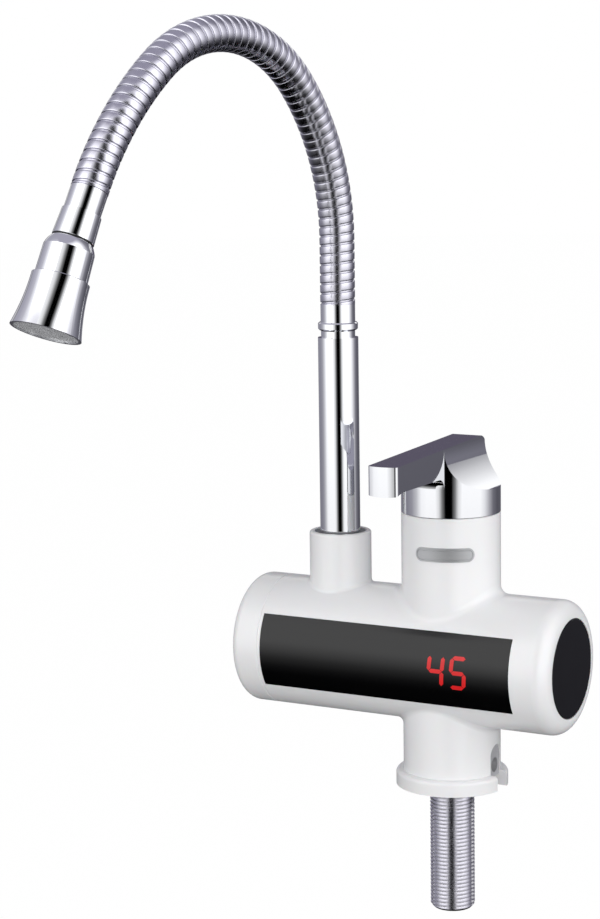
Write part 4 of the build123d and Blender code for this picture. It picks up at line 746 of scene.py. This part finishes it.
# %% Zinc-plated screws and clip
material, tree, place = start_finish("zinc_plate_bright")
spangle = add_node(tree, "TexVoronoi", {"Vector": place, "Scale": per_metre(0.8)})
zinc = add_node(tree, "Mix", {
    0: spangle.outputs["Distance"], 6: colour("#9DA3A8"), 7: colour("#C7CBCE"),
}, data_type="RGBA")
end_finish(tree, {"Base Color": zinc.outputs[2], "Metallic": 1.0, "Roughness": 0.32})
finishes["zinc_screws"] = material

# %% Satin plate
material, tree, place = start_finish("aluminium_satin_anodised")
stretched = add_node(tree, "Mapping", {"Vector": place, "Scale": (1.0, 1.0, 40.0)})
brushed = add_node(tree, "TexNoise", {
    "Vector": stretched.outputs["Vector"], "Scale": per_metre(6), "Detail": 4.0,
})
satin = add_node(tree, "Mix", {
    0: brushed.outputs["Fac"], 6: colour("#BDBEC0"), 7: colour("#CDCED0"),
}, data_type="RGBA")
gloss = add_node(tree, "MapRange", {"Value": brushed.outputs["Fac"], "To Min": 0.55, "To Max": 0.65})
end_finish(tree, {"Base Color": satin.outputs[2], "Metallic": 1.0, "Roughness": gloss.outputs["Result"]})
finishes["badge_silver"] = material

# %% Turned brass
material, tree, place = start_finish("brass_turned")
cuts = add_node(tree, "TexWave", {
    "Vector": place, "Scale": per_metre(0.6), "Distortion": 0.8,
}, wave_type="BANDS", bands_direction="Z")
age = add_node(tree, "TexNoise", {"Vector": place, "Scale": per_metre(10), "Detail": 5.0})
brass = add_node(tree, "Mix", {
    0: age.outputs["Fac"], 6: colour("#B08A45"), 7: colour("#D8B56A"),
}, data_type="RGBA")
tool = add_node(tree, "Bump", {"Height": cuts.outputs["Fac"], "Strength": 0.2, "Distance": 0.02 * MM})
end_finish(tree, {
    "Base Color": brass.outputs[2], "Metallic": 1.0, "Roughness": 0.28, "Normal": tool.outputs["Normal"],
})
finishes["brass"] = material

# %% Stainless sheath of the element and probe
material, tree, place = start_finish("stainless_sheath_drawn")
heat = add_node(tree, "TexNoise", {"Vector": place, "Scale": per_metre(18), "Detail": 3.0})
sheath = add_node(tree, "Mix", {
    0: heat.outputs["Fac"], 6: colour("#86827C"), 7: colour("#A9ABAE"),
}, data_type="RGBA")
end_finish(tree, {"Base Color": sheath.outputs[2], "Metallic": 1.0, "Roughness": 0.36})
finishes["element_steel"] = material

# %% Sintered magnet
material, tree, place = start_finish("ferrite_sintered")
pores = add_node(tree, "TexNoise", {"Vector": place, "Scale": per_metre(0.3), "Detail": 3.0})
ferrite = add_node(tree, "Mix", {
    0: pores.outputs["Fac"], 6: colour("#1B1B1D"), 7: colour("#2C2C2F"),
}, data_type="RGBA")
end_finish(tree, {"Base Color": ferrite.outputs[2], "Roughness": 0.7})
finishes["magnet_dark"] = material

# %% [markdown]
# ### Working plastics, rubbers and ceramics
# Inside, nothing is polished: nylon is grey and slightly rough from its glass fibres, acetal is milky,
# the board is green solder mask over faint tracks, and rubber is black and matt.

# %% Plain moulded plastics
plain_plastics = {
    "black_plastic": ("abs_black_textured_mould", "#161617", "#212123", 0.5, 0.5),
    "terminal_plastic": ("polyamide_natural_moulded", "#C9C6B8", "#D8D5C8", 0.45, 0.8),
    "cartridge_plastic": ("acetal_moulded", "#D9D9D2", "#E6E6E0", 0.35, 1.5),
    "nylon_grey": ("nylon_glass_filled_moulded", "#55585B", "#686B6F", 0.5, 0.6),
    "cutout_black": ("phenolic_pressed", "#1A1715", "#2A2522", 0.45, 0.7),
    "plug_grey": ("polypropylene_moulded", "#8B8D90", "#9A9CA0", 0.4, 1.0),
    "face_plastic": ("acetal_pale_moulded", "#C6C7CA", "#D3D4D7", 0.38, 1.2),
}
for slot, (name, dark, light, roughness, grain_size) in plain_plastics.items():
    material, tree, place = start_finish(name)
    grain = add_node(tree, "TexNoise", {"Vector": place, "Scale": per_metre(grain_size), "Detail": 3.0})
    cloud = add_node(tree, "TexNoise", {"Vector": place, "Scale": per_metre(20), "Detail": 2.0})
    body = add_node(tree, "Mix", {
        0: cloud.outputs["Fac"], 6: colour(dark), 7: colour(light),
    }, data_type="RGBA")
    skin = add_node(tree, "Bump", {"Height": grain.outputs["Fac"], "Strength": 0.3, "Distance": 0.03 * MM})
    end_finish(tree, {
        "Base Color": body.outputs[2], "Roughness": roughness, "Normal": skin.outputs["Normal"],
    })
    finishes[slot] = material

# %% Circuit board with faint tracks under its mask
material, tree, place = start_finish("fibreglass_green_mask")
tracks = add_node(tree, "TexBrick", {
    "Vector": place, "Scale": per_metre(6), "Mortar Size": 0.06, "Color1": colour("#0F4A26"),
    "Color2": colour("#0D4021"), "Mortar": colour("#2B7A45"),
})
relief = add_node(tree, "Bump", {"Height": tracks.outputs["Fac"], "Strength": 0.3, "Distance": 0.03 * MM})
end_finish(tree, {
    "Base Color": tracks.outputs["Color"], "Roughness": 0.3, "Normal": relief.outputs["Normal"],
})
finishes["board_green"] = material

# %% Lapped alumina and the reed switch's glass
material, tree, place = start_finish("alumina_lapped")
grain = add_node(tree, "TexNoise", {"Vector": place, "Scale": per_metre(0.5), "Detail": 2.0})
ceramic = add_node(tree, "Mix", {
    0: grain.outputs["Fac"], 6: colour("#E9E8E2"), 7: colour("#F3F2EE"),
}, data_type="RGBA")
end_finish(tree, {"Base Color": ceramic.outputs[2], "Roughness": 0.15, "IOR": 1.7})
finishes["ceramic"] = material

material, tree, place = start_finish("glass_tube_drawn")
swirl = add_node(tree, "TexNoise", {"Vector": place, "Scale": per_metre(2), "Detail": 1.0})
tone = add_node(tree, "Mix", {
    0: swirl.outputs["Fac"], 6: colour("#9DB8AE"), 7: colour("#B5CCC3"),
}, data_type="RGBA")
end_finish(tree, {"Base Color": tone.outputs[2], "Roughness": 0.05, "IOR": 1.5, "Transmission Weight": 0.7})
finishes["reed_glass"] = material

# %% Rubbers
rubbers = {
    "seal_rubber": ("nitrile_rubber_moulded", "#0E0E0F", "#1B1B1C", 0.6),
    "grommet_white": ("silicone_rubber_white", "#A5A5A9", "#B3B3B7", 0.5),
    "inner_hose": ("silicone_hose_extruded", "#B4B6B9", "#C6C8CB", 0.45),
}
for slot, (name, dark, light, roughness) in rubbers.items():
    material, tree, place = start_finish(name)
    bloom = add_node(tree, "TexNoise", {"Vector": place, "Scale": per_metre(1.5), "Detail": 4.0})
    body = add_node(tree, "Mix", {
        0: bloom.outputs["Fac"], 6: colour(dark), 7: colour(light),
    }, data_type="RGBA")
    skin = add_node(tree, "Bump", {"Height": bloom.outputs["Fac"], "Strength": 0.25, "Distance": 0.04 * MM})
    end_finish(tree, {
        "Base Color": body.outputs[2], "Roughness": roughness, "Normal": skin.outputs["Normal"],
    })
    finishes[slot] = material

# %% Give every node and piece its finish
def dress(piece, material):
    piece.data.materials.clear()
    piece.data.materials.append(material)


slot_of = {part["node"]: part["material_slot"] for part in frame["record"]["subparts"]}
for name, node in nodes.items():
    dress(node, finishes[slot_of[name]])
for piece in hose_lengths:
    dress(piece, finishes["hose_steel"])
for piece in inner_lengths:
    dress(piece, finishes["inner_hose"])
for piece in digit_pieces:
    dress(piece, lit_red)
dress(shank, finishes["shank_steel"])
dress(plate, finishes["badge_silver"])
print("finishes", len(finishes) + 1)

# %% [markdown]
# ## The studio
# Polished metal shows only what stands round it. The photograph's chrome tells what that was: a light tent
# that is white to both sides, grey at the back, dimmer towards the table, with a dark card in front and
# a grey and a pale one behind.
# The world is that tent to glossy rays, plain white to the camera, and an even, plain light to all other
# rays. Soft lights left, right and in front shape the white casing.

# %% [markdown]
# ### The floor
# The photograph has no table edge and almost no shadow, so the paper lies well below the tap. It lights
# white plastic from below like any pale paper, and metal doesn't mirror it.

# %% Floor
# It is white to the camera, at a level that leaves room for the object's shadow on the paper.
FLOOR_DROP = 330.0
FLOOR_RADIUS = 12.0
FLOOR_WHITE_SHARE = 0.96
FLOOR_WHITE_LEVEL = 1.03
floor_place = (0, 0, cad_low.z - FLOOR_DROP * MM)
clear_selection()
bpy.ops.mesh.primitive_circle_add(vertices=96, radius=FLOOR_RADIUS, fill_type="NGON", location=floor_place)
floor = name_piece("studio_floor")
material, tree, place = start_finish("floor_paper_pale")
fibre = add_node(tree, "TexNoise", {"Vector": place, "Scale": per_metre(30), "Detail": 2.0})
paper = add_node(tree, "Mix", {
    0: fibre.outputs["Fac"], 6: colour("#ACACAC"), 7: colour("#B4B4B4"),
}, data_type="RGBA")
ray = tree.nodes.new("ShaderNodeLightPath")
matt = add_node(tree, "BsdfDiffuse", {"Color": paper.outputs[2]})
white = add_node(tree, "Emission", {"Color": (1, 1, 1, 1), "Strength": FLOOR_WHITE_LEVEL})
seen = add_node(tree, "Math", {0: ray.outputs["Is Camera Ray"], 1: FLOOR_WHITE_SHARE}, operation="MULTIPLY")
both = add_node(tree, "MixShader", {0: seen.outputs[0], 1: matt.outputs[0], 2: white.outputs[0]})
add_node(tree, "OutputMaterial", {"Surface": both.outputs[0]})
dress(floor, material)
floor.visible_glossy = False
print("floor in mm below the shank", FLOOR_DROP)

# %% [markdown]
# ### The light tent
# A vertical tube mirrors the whole horizon in narrow bands, so the bands on the riser and the cap, read from
# left to right, give the tent's brightness all the way round. Colour ramps hold it by angle.

# %% The tent's brightness by turn and by height
# Turn is in degrees right of the photograph's direction, and height in degrees above the horizon.
TENT_LEVEL = 2.05
tent_sides = {
    -180: "#7C7B84", -125: "#81808A", -105: "#95949C", -90: "#C1C1C5", -76: "#F7F7F8", -62: "#FFFFFF",
    68: "#FFFFFF", 80: "#E7E7E9", 95: "#ADACB1", 110: "#6F6E76", 128: "#55545C", 150: "#55545C",
    180: "#7C7B84",
}
tent_heights = {
    -90: "#000000", -45: "#000000", -33: "#404040", -20: "#898989", -8: "#D2D2D2", 5: "#FFFFFF",
    90: "#FFFFFF",
}
tent_roof = {0: "#000000", 42: "#000000", 66: "#FFFFFF", 90: "#FFFFFF"}

world = bpy.data.worlds.new("studio_world")
bpy.context.scene.world = world
world.use_nodes = True
tree = world.node_tree
tree.nodes.clear()
facing = tree.nodes.new("ShaderNodeTexCoord").outputs["Generated"]
axes = {
    "front": (math.sin(AZIMUTH), -math.cos(AZIMUTH), 0), "aside": (math.cos(AZIMUTH), math.sin(AZIMUTH), 0),
    "up": (0, 0, 1),
}
amounts = {}
for name, axis in axes.items():
    product = add_node(tree, "VectorMath", {0: facing, 1: axis}, operation="DOT_PRODUCT")
    amounts[name] = product.outputs["Value"]
turn = add_node(tree, "Math", {0: amounts["aside"], 1: amounts["front"]}, operation="ARCTAN2").outputs[0]
height = add_node(tree, "Math", {0: amounts["up"]}, operation="ARCSINE").outputs[0]

bands = []
for angle, stops in [(turn, tent_sides), (height, tent_heights), (height, tent_roof)]:
    degrees = sorted(stops)
    low, high = degrees[0], degrees[-1]
    share = add_node(tree, "MapRange", {
        "Value": angle, "From Min": math.radians(low), "From Max": math.radians(high),
    })
    band = add_node(tree, "ValToRGB", {"Fac": share.outputs["Result"]})
    elements = band.color_ramp.elements
    elements[0].color, elements[1].color = colour(stops[low]), colour(stops[high])
    for stop in degrees[1:-1]:
        elements.new((stop - low) / (high - low)).color = colour(stops[stop])
    bands.append(band.outputs["Color"])
walls, fall, roof = bands
print("tent stops", [len(stops) for stops in (tent_sides, tent_heights, tent_roof)])

# %% World: tent to polished metal, white to the camera, plain light to the rest
FILL_LIGHT = 0.43
tent = add_node(tree, "Mix", {0: roof, 6: walls, 7: colour("#83818C")}, data_type="RGBA")
bright = add_node(tree, "Math", {0: fall, 1: TENT_LEVEL}, operation="MULTIPLY")
ray = tree.nodes.new("ShaderNodeLightPath")
to_camera, through_glass = ray.outputs["Is Camera Ray"], ray.outputs["Is Transmission Ray"]
seen = add_node(tree, "Math", {0: to_camera, 1: through_glass}, operation="MAXIMUM")
tent_sky = add_node(tree, "Background", {"Color": tent.outputs[2], "Strength": bright.outputs[0]})
plain_sky = add_node(tree, "Background", {"Color": (1, 1, 1, 1), "Strength": FILL_LIGHT})
white_sky = add_node(tree, "Background", {"Color": (1, 1, 1, 1), "Strength": 1.0})
lit = add_node(tree, "MixShader", {
    0: ray.outputs["Is Glossy Ray"], 1: plain_sky.outputs[0], 2: tent_sky.outputs[0],
})
sky = add_node(tree, "MixShader", {0: seen.outputs[0], 1: lit.outputs[0], 2: white_sky.outputs[0]})
add_node(tree, "OutputWorld", {"Surface": sky.outputs[0]})
print("tent level", TENT_LEVEL, "plain light", FILL_LIGHT)

# %% [markdown]
# ### The soft lights
# White plastic shows no bands, only how much light reaches it. One light at each side rounds the barrel and
# the necks, and a weaker one in front makes their middle the brightest part. Metal doesn't mirror them.

# %% Soft lights, placed by their turn from the camera
STAND = Vector((-40.0, -20.0, 0.0)) * MM
LAMP_AIM = 150.0 * MM


def studio_place(turn, distance, height):
    """A point that many degrees right of the camera, seen from the tap."""
    angle = AZIMUTH + math.radians(turn)
    return STAND + Vector((math.sin(angle) * distance, -math.cos(angle) * distance, height))


def soft_light(name, turn, distance, height, width, tall, watts):
    place = studio_place(turn, distance, height)
    aim = Vector((STAND.x, STAND.y, LAMP_AIM)) - place
    clear_selection()
    bpy.ops.object.light_add(type="AREA", location=place, rotation=aim.to_track_quat("-Z", "Y").to_euler())
    lamp = name_piece(name)
    lamp.data.shape = "RECTANGLE"
    lamp.data.size = width
    lamp.data.size_y = tall
    lamp.data.energy = watts
    lamp.visible_camera = False
    lamp.visible_glossy = False
    return lamp


soft_light("soft_light_left", turn=-53, distance=1.0, height=0.42, width=0.8, tall=1.3, watts=4.6)
soft_light("soft_light_right", turn=62, distance=1.05, height=0.42, width=1.0, tall=1.3, watts=5.6)
soft_light("soft_light_front", turn=10, distance=1.2, height=0.12, width=0.5, tall=0.6, watts=3.9)

# %% [markdown]
# ### The cards
# The black band down the middle of every chrome piece is a narrow dark card beside the camera. A grey card
# behind the tap darkens the lever's flat top, and a pale one above that lights the hollow flanks beside it.

# %% Cards with soft edges, which only polished surfaces see
card_fades = {
    "card_front": {0.0: 0.0, 0.22: 0.0, 0.45: 0.2, 0.7: 0.75, 1.0: 1.0},
    "card_behind": {0.0: 0.0, 0.7: 0.0, 1.0: 1.0},
    "card_above_behind": {0.0: 0.0, 0.25: 0.08, 0.65: 0.5, 1.0: 1.0},
}


def grey(level):
    return (level, level, level, 1.0)


def studio_card(name, place, width, tall, middle, rim):
    """An upright card that faces the tap and fades from its middle line to the rims at its two sides."""
    aim = Vector((0.0, 0.0, place.z)) - place
    clear_selection()
    facing_tap = aim.to_track_quat("Z", "Y").to_euler()
    bpy.ops.mesh.primitive_plane_add(size=1.0, location=place, rotation=facing_tap)
    card = name_piece(name)
    card.scale = (width, tall, 1.0)
    settle(card)
    material, tree, _ = start_finish(name + "_paper")
    sheet = add_node(tree, "UVMap", {}, uv_map=card.data.uv_layers[0].name)
    across = add_node(tree, "SeparateXYZ", {"Vector": sheet.outputs["UV"]})
    centred = add_node(tree, "MapRange", {"Value": across.outputs["X"], "To Min": -1.0, "To Max": 1.0})
    from_middle = add_node(tree, "Math", {0: centred.outputs["Result"]}, operation="ABSOLUTE")
    fade = add_node(tree, "ValToRGB", {"Fac": from_middle.outputs[0]})
    stops = card_fades[name]
    fade.color_ramp.elements[0].color = grey(0.0)
    fade.color_ramp.elements[1].color = grey(1.0)
    for share in sorted(stops)[1:-1]:
        fade.color_ramp.elements.new(share).color = grey(stops[share])
    tone = add_node(tree, "Mix", {0: fade.outputs["Color"], 6: middle, 7: rim}, data_type="RGBA")
    paper = add_node(tree, "Emission", {"Color": tone.outputs[2], "Strength": 1.0})
    add_node(tree, "OutputMaterial", {"Surface": paper.outputs[0]})
    dress(card, material)
    card.visible_camera = False
    card.visible_diffuse = False
    card.visible_shadow = False
    card.visible_transmission = False
    return card


FRONT_CARD_PLACE = Vector((0.133, -0.363, 0.2))
PALE = 1.2
BRIGHT = 1.3
studio_card("card_front", FRONT_CARD_PLACE, width=0.44, tall=1.1, middle=grey(0.0), rim=grey(PALE))
studio_card(
    "card_behind", studio_place(180, 0.9, 0.34), width=1.1, tall=0.3, middle=colour("#5F5A6A"),
    rim=colour("#7C7B84"),
)
studio_card(
    "card_above_behind", studio_place(172, 1.0, 0.59), width=2.8, tall=0.36, middle=grey(BRIGHT),
    rim=colour("#6A6972"),
)
print("cards", sorted(card_fades))

# %% [markdown]
# ## The view
# Colours render as they are written, through the Standard view.

bpy.context.scene.view_settings.view_transform = "Standard"
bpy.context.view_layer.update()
